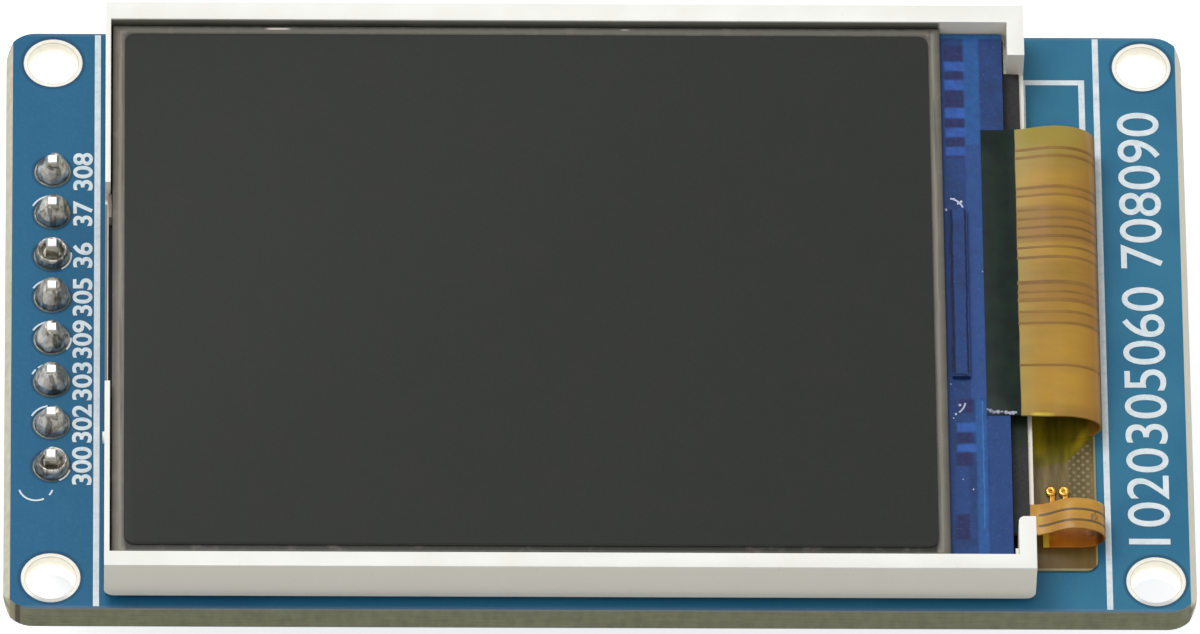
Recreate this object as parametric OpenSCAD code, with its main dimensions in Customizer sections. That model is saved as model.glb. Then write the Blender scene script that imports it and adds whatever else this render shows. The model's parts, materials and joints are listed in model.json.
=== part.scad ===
// Small colour display on a carrier board with an eight pin header.
// Origin: centre of the four mounting holes, on the underside of the board.
// +X runs along the board to the ribbon end, +Y to the rear edge, +Z out of the screen.

/* [Board] */
// Board left of the screen, with the pins on it
left_room = 4.95; // [4.6:0.05:8]
// Board right of the screen, with the ribbons on it
right_room = 8; // [7.6:0.05:12]
// Board in front of the screen
front_room = 0.55; // [0.2:0.05:4]
// Board behind the screen
rear_room = 0.15; // [0.1:0.05:4]
// Thickness of the board with its coats
board_t = 1.6; // [1:0.1:2.4]
// Radius of the board's corners
board_corner_r = 1.45; // [0.6:0.05:2.2]
// Width of the bevel left by the score at each short end
score_w = 0.33; // [0.1:0.01:0.45]
// Depth of that bevel
score_h = 0.55; // [0.2:0.05:0.65]
// Thickness of the coloured coat on each face
mask_t = 0.03; // [0.02:0.005:0.06]
// Thickness of the white print
print_t = 0.02; // [0.01:0.005:0.04]
// Width of the printed lines
print_w = 0.3; // [0.15:0.01:0.4]
// Distance of the left printed line from the screen's frame
left_line_gap = 0.39; // [0.25:0.01:0.45]
// Distance of the right printed line from the right holes
right_line_gap = 2.29; // [2:0.01:2.4]
// How far the printed box reaches past the screen's frame
print_box_reach = 2.95; // [2.5:0.05:3.2]

/* [Mounting holes] */
// Distance of the left holes from the left end
hole_inset_left = 2.325; // [2:0.025:2.6]
// Distance of the right holes from the right end
hole_inset_right = 2.025; // [1.9:0.025:2.6]
// Distance of the holes from the long edges
hole_inset_y = 1.8; // [1.7:0.05:2.6]
// Diameter of the holes
hole_d = 2.5; // [2:0.1:2.8]
// Bare ring between a hole and the coat
hole_ring = 0.22; // [0.1:0.01:0.3]

/* [Pin header] */
// Distance between pins
pin_pitch = 2.54; // [2:0.01:2.54]
// Side of a pin
pin_side = 0.64; // [0.5:0.02:0.66]
// Height of a pin above the board
pin_above = 1.13; // [0.95:0.01:1.6]
// Length of a pin below its strip
pin_below = 4.7; // [4:0.1:9]
// Height of the plastic strip
strip_h = 2.54; // [1.5:0.02:3]
// Width of the plastic strip
strip_w = 2.5; // [2.2:0.05:2.54]
// Drilled diameter of a pin hole
drill_d = 1.1; // [1.06:0.01:1.2]
// Wall of the plating in a pin hole
plating_t = 0.04; // [0.02:0.005:0.05]
// Diameter of a solder land
land_d = 1.75; // [1.5:0.05:1.9]
// Height of the solder above the land
solder_h = 0.88; // [0.4:0.02:0.9]

/* [Screen] */
// Length of the screen's frame
lcd_l = 45.75; // [42:0.05:52]
// Width of the screen's frame
lcd_w = 34; // [32:0.05:38]
// Height of the screen's frame
lcd_h = 2.65; // [2.45:0.05:3]
// Thickness of the tape under the screen
tape_t = 0.3; // [0.25:0.01:0.6]
// Width of each of the two tapes
tape_w = 7; // [4:0.5:10]
// Left wall of the frame
wall_left = 0.26; // [0.24:0.01:0.4]
// Rear wall of the frame
wall_rear = 1.02; // [0.6:0.02:1.4]
// Front wall of the frame
wall_front = 0.84; // [0.6:0.02:1.4]
// Width of the two end hooks
hook_w = 0.85; // [0.7:0.01:1]
// Length of the rear hook
rear_hook_l = 3.03; // [2:0.01:4]
// Length of the front hook
front_hook_l = 3.1; // [2:0.05:4]
// Thickness of the low wall between the hooks
sill_t = 0.55; // [0.4:0.05:0.6]
// Length of the cut in the left wall
notch_l = 12; // [8:0.1:16]
// Width of the lip left in that cut
lip_t = 0.16; // [0.12:0.01:0.18]

/* [Layers in the screen] */
// Clearance round the glass
glass_gap = 0.1; // [0.05:0.01:0.15]
// Thickness of each of the two glasses
glass_t = 0.5; // [0.4:0.02:0.5]
// Thickness of the front polarizer
front_pol_t = 0.2; // [0.1:0.01:0.24]
// Thickness of the rear polarizer
rear_pol_t = 0.13; // [0.1:0.01:0.16]
// Bare border round the front polarizer
pol_inset = 0.6; // [0.3:0.05:1]
// Corner radius of the front polarizer
pol_corner_r = 0.5; // [0.2:0.05:1]
// Width of the connecting ledge of the rear glass
ledge_w = 3.1; // [3:0.05:3.6]
// Thickness of the blue coat on the ledge
coat_t = 0.06; // [0.03:0.01:0.08]
// Thickness of the light guide
guide_t = 0.74; // [0.6:0.02:0.74]
// Thickness of the reflector
reflector_t = 0.08; // [0.04:0.01:0.08]
// Thickness of each of the three upper films
film_t = 0.05; // [0.03:0.005:0.05]
// Thickness of the black rim tape
rim_t = 0.07; // [0.04:0.01:0.08]
// Width of the black rim tape
rim_w = 1.3; // [0.9:0.1:2]
// Length of the driver chip
chip_l = 10; // [8:0.1:11]
// Width of the driver chip
chip_w = 0.75; // [0.6:0.05:1.2]
// Height of the driver chip
chip_h = 0.25; // [0.15:0.01:0.3]
// Length of a backlight lamp
lamp_l = 3; // [2:0.1:3.8]
// Width of a backlight lamp
lamp_w = 0.9; // [0.6:0.05:0.95]

/* [Ribbons] */
// Thickness of the ribbons
ribbon_t = 0.1; // [0.06:0.01:0.12]
// Width of the display ribbon
ribbon_w = 17.25; // [14:0.05:18]
// Distance of the ribbon's middle from the screen's middle
ribbon_shift_y = 1.375; // [0:0.025:1.5]
// How far the ribbon lies on the ledge
bond_w = 1.15; // [0.9:0.05:1.2]
// How far the folded ribbon reaches past the frame
ribbon_reach = 3.45; // [3.3:0.01:3.5]
// Rise of the ribbon above the ledge
ribbon_rise = 0.3; // [0.2:0.01:0.4]
// Length of the ribbon's panel under the screen
panel_l = 10.35; // [9:0.05:14]
// Corner radius of that panel
panel_r = 0.6; // [0.3:0.05:1]
// Width of the backlight ribbon
strip_ribbon_w = 1.8; // [1.4:0.05:2]
// Height of the backlight ribbon's loop above the board
loop_h = 1.85; // [1.6:0.05:2]

/* [Hidden] */
$fn = 48;
eps = 0.01;
// How far a cutter reaches past what it cuts, and the gap between pieces that slip together
past = 1;
slip = 0.02;

// Board, round the screen, with its holes centred on the origin
board_l = left_room + lcd_l + right_room;
board_w = front_room + lcd_w + rear_room;
hole_span_x = board_l - hole_inset_left - hole_inset_right;
hole_span_y = board_w - 2 * hole_inset_y;
board_x0 = -hole_span_x / 2 - hole_inset_left;
board_x1 = hole_span_x / 2 + hole_inset_right;
board_y1 = board_w / 2;
core_z0 = mask_t;
core_z1 = board_t - mask_t;
print_top = board_t + print_t;
print_edge_gap = 0.1;
box_front_gap = 1;
box_rear_gap = 0.4;

// Header, in line with the left holes
pin_count = 8;
header_x = -hole_span_x / 2;
header_l = pin_count * pin_pitch;
land_hole_d = drill_d - 2 * plating_t;
land_clear = 0.05;
solder_edge = 0.03;
solder_neck_r = 0.72 * pin_side;
pin_top = board_t + pin_above;
pin_bottom = -strip_h - pin_below;
pin_chamfer = 0.12;
strip_chamfer = 0.5;
strip_end = 0.02;

// Screen
lcd_x0 = board_x0 + left_room;
lcd_x1 = lcd_x0 + lcd_l;
lcd_y0 = front_room - board_y1;
lcd_y1 = lcd_y0 + lcd_w;
lcd_y = lcd_y0 + lcd_w / 2;
lcd_z0 = board_t + tape_t;
lcd_z1 = lcd_z0 + lcd_h;
tape_inset = 1;
tape_panel_gap = 1.6;
frame_round = 0.5;
hook_round = 0.3;
step_w = 0.14;
step_l = 1;
nub_r = 0.3;
nub_h = 0.1;

// Layers, from the tape upwards
film_gap = 0.1;
guide_end_gap = 0.7;
end_gap = 0.22;
hook_gap = 0.05;
layer_x0 = lcd_x0 + wall_left + glass_gap;
layer_y0 = lcd_y0 + wall_front + glass_gap;
layer_y1 = lcd_y1 - wall_rear - glass_gap;
layer_x1 = lcd_x1 - hook_w - step_w - glass_gap;
sill_x = lcd_x1 - sill_t;
guide_x1 = layer_x1 - guide_end_gap;
reflector_z1 = lcd_z0 + reflector_t;
guide_z1 = reflector_z1 + guide_t;
diffuser_z1 = guide_z1 + film_t;
lower_prism_z1 = diffuser_z1 + film_t;
upper_prism_z1 = lower_prism_z1 + film_t;
lamp_z0 = reflector_z1 + hook_gap;
led_ribbon_z0 = upper_prism_z1 - ribbon_t;
rim_z0 = upper_prism_z1;
rim_z1 = rim_z0 + rim_t;
array_z0 = rim_z1 + rear_pol_t;
array_z1 = array_z0 + glass_t;
filter_z1 = array_z1 + glass_t;
pol_z1 = filter_z1 + front_pol_t;
filter_x1 = layer_x1 - ledge_w;
rear_hook_y = lcd_y1 - rear_hook_l;
front_hook_y = lcd_y0 + front_hook_l;
notch_y0 = lcd_y - 0.5 * notch_l;
notch_y1 = lcd_y + 0.5 * notch_l;
notch_gap = 0.06;
lip_z = rim_z1;
lug_l = 1.4;
lug_z = array_z1;

// Driver chip on the ledge
chip_gap = 0.35;
chip_x0 = filter_x1 + chip_gap;
chip_y0 = lcd_y - chip_l / 2;

// Display ribbon: on the ledge, over a crest, round a fold and back under the screen
ribbon_y0 = lcd_y + ribbon_shift_y - ribbon_w / 2;
ribbon_y1 = ribbon_y0 + ribbon_w;
bond_x = layer_x1 - bond_w;
bond_z = array_z1 + ribbon_t / 2;
rise_start = 0.1;
crest_inset = 2;
fold_shift = 0.8;
panel_inset = 0.3;
panel_front = 1.8;
panel_lap = 0.4;
panel_z0 = print_top;
panel_z = panel_z0 + ribbon_t / 2;
panel_z1 = panel_z0 + ribbon_t;
panel_x1 = lcd_x1 + ribbon_reach - panel_inset;
panel_x0 = panel_x1 - panel_l;
panel_y0 = lcd_y0 + panel_front;
crest_x = lcd_x1 + ribbon_reach - crest_inset;
crest_z = bond_z + ribbon_rise;
fold_x = lcd_x1 + ribbon_reach - ribbon_t / 2;
fold_z = (crest_z + panel_z) / 2;
fold_end = crest_x + fold_shift;
rise_steps = 10;
fold_steps = 12;
ribbon_pads = 14;
pad_pitch = 0.8;
pad_w = 0.45;
pad_l = 1.1;

// Backlight ribbon: out between the hooks, over a loop and back onto the panel
strip_y0 = front_hook_y + hook_gap;
strip_y1 = strip_y0 + strip_ribbon_w;
led_bar_lap = 0.35;
led_bar_end = 2.4;
loop_shift = 0.05;
loop_top_l = 1.5;
loop_low_l = 1.1;
strip_end_gap = 0.45;
strip_lap = 0.5;
led_bar_x0 = guide_x1 - led_bar_lap;
led_bar_x1 = lcd_x1 - end_gap;
led_bar_y1 = layer_y1 - led_bar_end;
led_ribbon_z = led_ribbon_z0 + ribbon_t / 2;
loop_x = fold_x + loop_shift;
loop_top_x = loop_x - loop_top_l;
loop_top_z = board_t + loop_h;
loop_low_z = panel_z0 + ribbon_t * 1.5;
loop_mid_z = (loop_top_z + loop_low_z) / 2;
loop_low_x = loop_x - loop_low_l;
strip_end_x = lcd_x1 + strip_end_gap;
lead_x = strip_end_x + 0.35;
lead_w = 0.3;
lead_pitch = 0.85;
lead_l = 1.4;
lead_lap = 0.2;
blob_r = 0.28;
blob_h = 0.14;
blob_inset = 0.15;

// Lamps, under the ribbon and against the light guide
lamp_x0 = guide_x1 + slip;
lamp_y = lcd_w / 4;

// Parts on the underside
header_to_parts = 13.2;
parts_x = header_x + header_to_parts;
parts_y = 8;
parts_gap = 4.5;
legged_l = 2.9;
legged_w = 1.3;
legged_h = 1.05;
leg_pitch = 0.95;
leg_w = 0.4;
leg_reach = 0.55;
leg_foot = 0.12;
leg_knee = 0.15;
leg_lap = 0.1;
legged_gap = 0.08;
chip_part_l = 1.6;
chip_part_w = 0.8;
chip_end = 0.3;
chip_end_t = 0.02;
capacitor_h = 0.8;
resistor_h = 0.45;

function arc(cx, cz, rx, rz, a0, a1, steps) =
    [for (i = [0 : steps]) let (a = a0 + (a1 - a0) * i / steps) [cx + rx * cos(a), cz + rz * sin(a)]];

function ramp(x0, z0, x1, z1, steps) =
    [for (i = [0 : steps]) [x0 + (x1 - x0) * i / steps, z0 + (z1 - z0) * (1 - cos(180 * i / steps)) / 2]];

// Direction along a path at point i, and the point moved sideways by d
function along(p, i) = let (a = p[max(i - 1, 0)], b = p[min(i + 1, len(p) - 1)], v = b - a) v / norm(v);
function beside(p, i, d) = let (t = along(p, i)) [p[i][0] - t[1] * d, p[i][1] + t[0] * d];
function band(p, t) = concat([for (i = [0 : len(p) - 1]) beside(p, i, t / 2)],
                             [for (i = [len(p) - 1 : -1 : 0]) beside(p, i, -t / 2)]);

module block(x0, x1, y0, y1, z0, z1) {
    translate([x0, y0, z0]) cube([x1 - x0, y1 - y0, z1 - z0]);
}

module round_block(x0, x1, y0, y1, z0, z1, r) {
    block(x0 + r, x1 - r, y0, y1, z0, z1);
    block(x0, x1, y0 + r, y1 - r, z0, z1);
    for (x = [x0 + r, x1 - r], y = [y0 + r, y1 - r])
        translate([x, y, z0]) cylinder(r = r, h = z1 - z0);
}

// A side view in X and Z, drawn out from y0 to y1
module side_view(y0, y1) {
    translate([0, y1, 0]) rotate([90, 0, 0]) linear_extrude(y1 - y0) children();
}

module at_holes() {
    for (x = [-hole_span_x / 2, hole_span_x / 2], y = [-hole_span_y / 2, hole_span_y / 2])
        translate([x, y, 0]) children();
}

module at_pin(i) {
    translate([header_x, (pin_count / 2 - 0.5 - i) * pin_pitch, 0]) children();
}

module board_outline(z0, z1) {
    round_block(board_x0, board_x1, -board_y1, board_y1, z0, z1, board_corner_r);
}

module circuit_board() {
    color([0.78, 0.77, 0.66]) difference() {
        board_outline(core_z0, core_z1);
        at_holes() translate([0, 0, -eps]) cylinder(d = hole_d, h = board_t);
        for (i = [0 : pin_count - 1])
            at_pin(i) translate([0, 0, -eps]) cylinder(d = drill_d, h = board_t);
        side_view(-board_w, board_w) for (s = [0, 1]) {
            x = s == 0 ? board_x0 : board_x1;
            d = s == 0 ? 1 : -1;
            polygon([[x - d, core_z1 + eps], [x + d * score_w, core_z1 + eps],
                     [x + d * score_w, core_z1], [x, core_z1 - score_h], [x - d, core_z1 - score_h]]);
            polygon([[x - d, core_z0 - eps], [x + d * score_w, core_z0 - eps],
                     [x + d * score_w, core_z0], [x, core_z0 + score_h], [x - d, core_z0 + score_h]]);
        }
    }
}

module solder_mask(z0) {
    color([0.1, 0.36, 0.55]) difference() {
        intersection() {
            board_outline(z0, z0 + mask_t);
            block(board_x0 + score_w, board_x1 - score_w, -board_w, board_w, z0 - eps, z0 + mask_t + eps);
        }
        at_holes() translate([0, 0, z0 - eps]) cylinder(d = hole_d + 2 * hole_ring, h = mask_t + 2 * eps);
        for (i = [0 : pin_count - 1]) at_pin(i) translate([0, 0, z0 - eps])
            cylinder(d = land_d + 2 * land_clear, h = mask_t + 2 * eps);
    }
}

module solder_mask_top() solder_mask(core_z1);
module solder_mask_bottom() solder_mask(0);

module printed_lines() {
    edge = board_y1 - print_edge_gap;
    left = lcd_x0 - left_line_gap;
    right = hole_span_x / 2 - right_line_gap;
    box_x1 = lcd_x1 + print_box_reach;
    box_y0 = panel_y0 + box_front_gap;
    box_y1 = rear_hook_y + box_rear_gap;
    half = print_w / 2;
    color([0.9, 0.94, 0.95]) {
        block(left - half, left + half, -edge, edge, board_t, print_top);
        block(right - half, right + half, -edge, edge, board_t, print_top);
        difference() {
            block(lcd_x1 - half, box_x1 + half, box_y0 - half, box_y1 + half, board_t, print_top);
            block(lcd_x1 + half, box_x1 - half, box_y0 + half, box_y1 - half, 0, lcd_z0);
        }
    }
}

// Lands on both faces joined by the wall of each hole
module header_plating() {
    color([0.75, 0.74, 0.7]) for (i = [0 : pin_count - 1]) at_pin(i) difference() {
        union() {
            cylinder(d = drill_d, h = board_t);
            cylinder(d = land_d, h = mask_t);
            translate([0, 0, core_z1]) cylinder(d = land_d, h = mask_t);
        }
        translate([0, 0, -eps]) cylinder(d = land_hole_d, h = board_t + 2 * eps);
    }
}

module header_strip() {
    w = strip_w / 2;
    p = pin_pitch / 2 - strip_end / 2;
    c = strip_chamfer;
    color([0.06, 0.06, 0.06]) difference() {
        translate([0, 0, -strip_h]) union() {
            for (i = [0 : pin_count - 1]) at_pin(i) linear_extrude(strip_h)
                polygon([[-w, c - p], [c - w, -p], [w - c, -p], [w, c - p],
                         [w, p - c], [w - c, p], [c - w, p], [-w, p - c]]);
            block(header_x - w + c, header_x + w - c, -header_l / 2 + p, header_l / 2 - p, 0, strip_h);
        }
        for (i = [0 : pin_count - 1]) at_pin(i)
            block(-pin_side / 2, pin_side / 2, -pin_side / 2, pin_side / 2, -strip_h - eps, eps);
    }
}

module pin_side_view() {
    s = pin_side / 2;
    c = pin_chamfer;
    side_view(-s, s) polygon([[-s, pin_bottom + 3 * c], [c - s, pin_bottom], [s - c, pin_bottom],
                              [s, pin_bottom + 3 * c], [s, pin_top - 2 * c], [s - c, pin_top],
                              [c - s, pin_top], [-s, pin_top - 2 * c]]);
}

module header_pin(i) {
    color([0.86, 0.78, 0.5]) at_pin(i) intersection() {
        pin_side_view();
        rotate([0, 0, 90]) pin_side_view();
    }
}

// Solder fills the hole round the pin and stands round it in a dome
module solder_joint(i) {
    r = land_d / 2 - solder_edge;
    dome = arc(solder_neck_r, board_t, r - solder_neck_r, solder_h, 0, 90, 8);
    color([0.72, 0.72, 0.7]) at_pin(i) difference() {
        rotate_extrude() polygon(concat([[0, 0], [land_hole_d / 2, 0], [land_hole_d / 2, board_t]],
                                        dome, [[0, board_t + solder_h]]));
        block(-pin_side / 2, pin_side / 2, -pin_side / 2, pin_side / 2, -eps, pin_top);
    }
}

module mounting_tape(y0) {
    color([0.93, 0.92, 0.88]) block(lcd_x0 + tape_inset, panel_x0 - tape_panel_gap, y0, y0 + tape_w,
                                       board_t, lcd_z0);
}

module rear_mounting_tape() mounting_tape(lcd_y1 - tape_inset - tape_w);
module front_mounting_tape() mounting_tape(lcd_y0 + tape_inset);

// What is taken off a bottom end edge of the frame to round it
module frame_end_cut(x, d) {
    side_view(lcd_y0 - past, lcd_y1 + past) difference() {
        translate([min(x, x + d * frame_round) - (d > 0 ? past : 0), lcd_z0 - past])
            square([frame_round + past, frame_round + past]);
        translate([x + d * frame_round, lcd_z0 + frame_round]) circle(frame_round);
    }
}

module backlight_frame() {
    hook_x = lcd_x1 - hook_w;
    inner_y0 = lcd_y0 + wall_front;
    inner_y1 = lcd_y1 - wall_rear;
    inner_x0 = lcd_x0 + wall_left;
    front_x = hook_x + hook_round;
    front_y = front_hook_y - hook_round;
    color([0.95, 0.95, 0.92]) difference() {
        union() {
            block(lcd_x0, lcd_x1, lcd_y0, inner_y0, lcd_z0, lcd_z1);
            block(lcd_x0, lcd_x1, inner_y1, lcd_y1, lcd_z0, lcd_z1);
            block(lcd_x0, inner_x0, lcd_y0, lcd_y1, lcd_z0, lcd_z1);
            block(sill_x, lcd_x1, lcd_y0, lcd_y1, lcd_z0, led_ribbon_z0);
            block(hook_x, lcd_x1, rear_hook_y, lcd_y1, lcd_z0, lcd_z1);
            block(hook_x - step_w, lcd_x1, rear_hook_y, lcd_y1, lcd_z0, rim_z1);
            block(hook_x, lcd_x1, lcd_y0, front_y, lcd_z0, lcd_z1);
            block(front_x, lcd_x1, lcd_y0, front_hook_y, lcd_z0, lcd_z1);
            translate([front_x, front_y, lcd_z0]) cylinder(r = hook_round, h = lcd_h);
            block(hook_x - step_w, lcd_x1, lcd_y0, inner_y0 + step_l, lcd_z0, array_z1);
            translate([lcd_x0 - nub_h, lcd_y - lcd_w / 4, lcd_z0 + lcd_h / 2])
                rotate([0, 90, 0]) cylinder(r = nub_r, h = wall_left);
        }
        // The left wall is cut down to a thin lip
        block(lcd_x0 - past, inner_x0 + eps, notch_y0, notch_y1, lip_z, lcd_z1 + eps);
        block(lcd_x0 + lip_t, inner_x0 + eps, notch_y0, notch_y1, reflector_z1, lcd_z1 + eps);
        // The bottom end edges are rounded
        frame_end_cut(lcd_x0, 1);
        frame_end_cut(lcd_x1, -1);
    }
}

module reflector_film() {
    color([0.97, 0.97, 0.97]) block(layer_x0, layer_x1 - glass_gap, layer_y0, layer_y1, lcd_z0, reflector_z1);
}

module light_guide() {
    lug_y1 = notch_y1 - notch_gap;
    lug_x0 = lcd_x0 + lip_t + slip;
    color([0.8, 0.82, 0.8]) {
        block(layer_x0, guide_x1, layer_y0, layer_y1, reflector_z1, guide_z1);
        block(lug_x0, layer_x0 + eps, lug_y1 - lug_l, lug_y1, reflector_z1, guide_z1);
        block(lug_x0, layer_x0 - glass_gap / 2, lug_y1 - lug_l, lug_y1, reflector_z1, lug_z);
    }
}

module film(z0) {
    block(layer_x0 + film_gap, led_bar_x0 - film_gap, layer_y0 + film_gap, layer_y1 - film_gap,
          z0, z0 + film_t);
}

module diffuser_film() color([0.95, 0.95, 0.93]) film(guide_z1);
module lower_prism_film() color([0.85, 0.87, 0.88]) film(diffuser_z1);
module upper_prism_film() color([0.85, 0.87, 0.88]) film(lower_prism_z1);

// A black window frame, wide at the lamp end, with a tab that fills the cut in the wall
module rim_tape() {
    window_x1 = filter_x1 - rim_w;
    color([0.12, 0.12, 0.12]) difference() {
        union() {
            block(layer_x0, lcd_x1 - end_gap, layer_y0, layer_y1, rim_z0, rim_z1);
            block(lcd_x0 + lip_t + slip, layer_x0 + eps, notch_y0 + notch_gap,
                  notch_y1 - lug_l - 2 * notch_gap, rim_z0, rim_z1);
        }
        block(layer_x0 + rim_w, window_x1, layer_y0 + rim_w, layer_y1 - rim_w, 0, lcd_z1);
        block(layer_x1, lcd_x1, rear_hook_y - hook_gap, lcd_y1, 0, lcd_z1);
        block(layer_x1, lcd_x1, lcd_y0, front_hook_y + hook_gap, 0, lcd_z1);
    }
}

module rear_polarizer() {
    color([0.2, 0.2, 0.22]) block(layer_x0, filter_x1, layer_y0, layer_y1, rim_z1, array_z0);
}

module array_glass() {
    color([0.62, 0.68, 0.68]) block(layer_x0, layer_x1, layer_y0, layer_y1, array_z0, array_z1);
}

module filter_glass() {
    color([0.5, 0.5, 0.47]) block(layer_x0, filter_x1, layer_y0, layer_y1, array_z1, filter_z1);
}

module front_polarizer() {
    color([0.23, 0.24, 0.23])
        round_block(layer_x0 + pol_inset, filter_x1 - pol_inset, layer_y0 + pol_inset, layer_y1 - pol_inset,
                    filter_z1, pol_z1, pol_corner_r);
}

module driver_chip() {
    color([0.25, 0.26, 0.3])
        block(chip_x0, chip_x0 + chip_w, chip_y0, chip_y0 + chip_l, array_z1, array_z1 + chip_h);
}

// The coat covers the ledge and the chip, and leaves room for the ribbon
module ledge_coat() {
    t = coat_t;
    color([0.16, 0.28, 0.62]) difference() {
        union() {
            block(filter_x1, layer_x1, layer_y0, layer_y1, array_z1, array_z1 + t);
            block(chip_x0 - t, chip_x0 + chip_w + t, chip_y0 - t, chip_y0 + chip_l + t,
                  array_z1, array_z1 + chip_h + t);
        }
        block(chip_x0, chip_x0 + chip_w, chip_y0, chip_y0 + chip_l, array_z1 - eps, array_z1 + chip_h);
        block(bond_x, layer_x1 + eps, ribbon_y0, ribbon_y1, 0, lcd_z1);
    }
}

module display_ribbon() {
    path = concat([[bond_x, bond_z]],
                  ramp(layer_x1 + rise_start, bond_z, crest_x, crest_z, rise_steps),
                  arc(crest_x, fold_z, fold_x - crest_x, crest_z - fold_z, 82.5, 0, fold_steps),
                  arc(fold_end, fold_z, fold_x - fold_end, fold_z - panel_z, -7.5, -90, fold_steps),
                  [[panel_x1 - 2 * panel_r - panel_lap, panel_z]]);
    color([0.72, 0.56, 0.24]) union() {
        side_view(ribbon_y0, ribbon_y1) polygon(band(path, ribbon_t));
        round_block(panel_x0, panel_x1, panel_y0, ribbon_y0 + panel_lap, panel_z0, panel_z1, panel_r);
        block(panel_x0, panel_x1 - 2 * panel_r, panel_y0 + panel_r, ribbon_y1, panel_z0, panel_z1);
    }
}

// A row of joints where the panel's end meets the board
module ribbon_solder() {
    mid = (panel_y0 + ribbon_y1) / 2;
    color([0.75, 0.75, 0.73]) for (i = [0 : ribbon_pads - 1]) {
        y = mid + (i - (ribbon_pads - 1) / 2) * pad_pitch;
        block(panel_x0 - pad_l, panel_x0, y - pad_w / 2, y + pad_w / 2, board_t, panel_z1);
    }
}

module backlight_ribbon() {
    path = concat([[led_bar_x1 - strip_lap, led_ribbon_z]],
                  ramp(led_bar_x1 + rise_start, led_ribbon_z, loop_top_x, loop_top_z, rise_steps),
                  arc(loop_top_x, loop_mid_z, loop_top_l, loop_top_z - loop_mid_z, 82.5, 0, fold_steps),
                  arc(loop_low_x, loop_mid_z, loop_low_l, loop_mid_z - loop_low_z, -7.5, -90, fold_steps),
                  [[strip_end_x, loop_low_z]]);
    low = loop_low_z - ribbon_t / 2;
    color([0.76, 0.58, 0.22]) union() {
        side_view(strip_y0, strip_y1) polygon(band(path, ribbon_t));
        block(led_bar_x0, led_bar_x1, strip_y0, strip_y1, led_ribbon_z0, rim_z0);
        block(led_bar_x0, led_bar_x1 - lead_lap, strip_y0, led_bar_y1, led_ribbon_z0, rim_z0);
        for (i = [0, 1]) {
            x = lead_x + i * lead_pitch;
            block(x - lead_w / 2, x + lead_w / 2, strip_y1 - lead_lap, strip_y1 + lead_l,
                  low, low + ribbon_t);
        }
    }
}

// A round blob on the end of each lead
module lamp_lead_solder() {
    color([0.9, 0.68, 0.3]) for (i = [0, 1])
        translate([lead_x + i * lead_pitch, strip_y1 + lead_l - blob_inset, loop_low_z + ribbon_t / 2])
            rotate_extrude() polygon(concat([[0, 0]], arc(0, 0, blob_r, blob_h, 0, 90, 6)));
}

module lamp(y) {
    color([0.96, 0.95, 0.85])
        block(lamp_x0, lamp_x0 + lamp_w, y - lamp_l / 2, y + lamp_l / 2, lamp_z0, led_ribbon_z0);
}

module front_backlight_lamp() lamp(lcd_y - lamp_y);
module rear_backlight_lamp() lamp(lcd_y + lamp_y);

// A three legged part hanging from the underside, turned by a
module three_leg_part(x, y, a) {
    color([0.1, 0.1, 0.1]) translate([x, y, 0]) rotate([0, 0, a]) {
        block(-legged_l / 2, legged_l / 2, -legged_w / 2, legged_w / 2, -legged_h, -legged_gap);
        for (p = [[-leg_pitch, -1], [leg_pitch, -1], [0, 1]]) {
            near = legged_w / 2 - leg_lap;
            for (r = [[legged_w / 2 + leg_knee, -legged_h / 2], [legged_w / 2 + leg_reach, -leg_foot]])
                block(p[0] - leg_w / 2, p[0] + leg_w / 2, min(p[1] * near, p[1] * r[0]),
                      max(p[1] * near, p[1] * r[0]), r[1], 0);
        }
    }
}

// A chip part with two metal ends, hanging from the underside
module chip_part(x, y, h, shade) {
    color(shade) {
        block(x - chip_part_l / 2, x + chip_part_l / 2, y - chip_part_w / 2, y + chip_part_w / 2, -h, 0);
        for (s = [-1, 1]) {
            end = x + s * (chip_part_l - chip_end) / 2;
            block(end - chip_end / 2 - chip_end_t, end + chip_end / 2 + chip_end_t,
                  y - chip_part_w / 2 - chip_end_t, y + chip_part_w / 2 + chip_end_t, -h - chip_end_t, 0);
        }
    }
}

module voltage_regulator() three_leg_part(parts_x, parts_y, 0);
module backlight_transistor() three_leg_part(parts_x, -parts_y, 90);
module input_capacitor() chip_part(parts_x - parts_gap, parts_y, capacitor_h, [0.72, 0.6, 0.42]);
module output_capacitor() chip_part(parts_x + parts_gap, parts_y, capacitor_h, [0.72, 0.6, 0.42]);
module lamp_resistor() chip_part(parts_x + parts_gap, -parts_y, resistor_h, [0.12, 0.12, 0.12]);
module base_resistor() chip_part(parts_x - parts_gap, -parts_y, resistor_h, [0.12, 0.12, 0.12]);
module reset_resistor() chip_part(parts_x - parts_gap, 0, resistor_h, [0.12, 0.12, 0.12]);

circuit_board();
solder_mask_top();
solder_mask_bottom();
printed_lines();
header_plating();
header_strip();
header_pin(0);  // header_pin_1
header_pin(1);  // header_pin_2
header_pin(2);  // header_pin_3
header_pin(3);  // header_pin_4
header_pin(4);  // header_pin_5
header_pin(5);  // header_pin_6
header_pin(6);  // header_pin_7
header_pin(7);  // header_pin_8
solder_joint(0);  // solder_joint_1
solder_joint(1);  // solder_joint_2
solder_joint(2);  // solder_joint_3
solder_joint(3);  // solder_joint_4
solder_joint(4);  // solder_joint_5
solder_joint(5);  // solder_joint_6
solder_joint(6);  // solder_joint_7
solder_joint(7);  // solder_joint_8
rear_mounting_tape();
front_mounting_tape();
backlight_frame();
reflector_film();
light_guide();
diffuser_film();
lower_prism_film();
upper_prism_film();
rim_tape();
rear_polarizer();
array_glass();
filter_glass();
front_polarizer();
driver_chip();
ledge_coat();
display_ribbon();
ribbon_solder();
backlight_ribbon();
front_backlight_lamp();
rear_backlight_lamp();
lamp_lead_solder();
voltage_regulator();
backlight_transistor();
input_capacitor();
output_capacitor();
lamp_resistor();
base_resistor();
reset_resistor();
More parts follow.
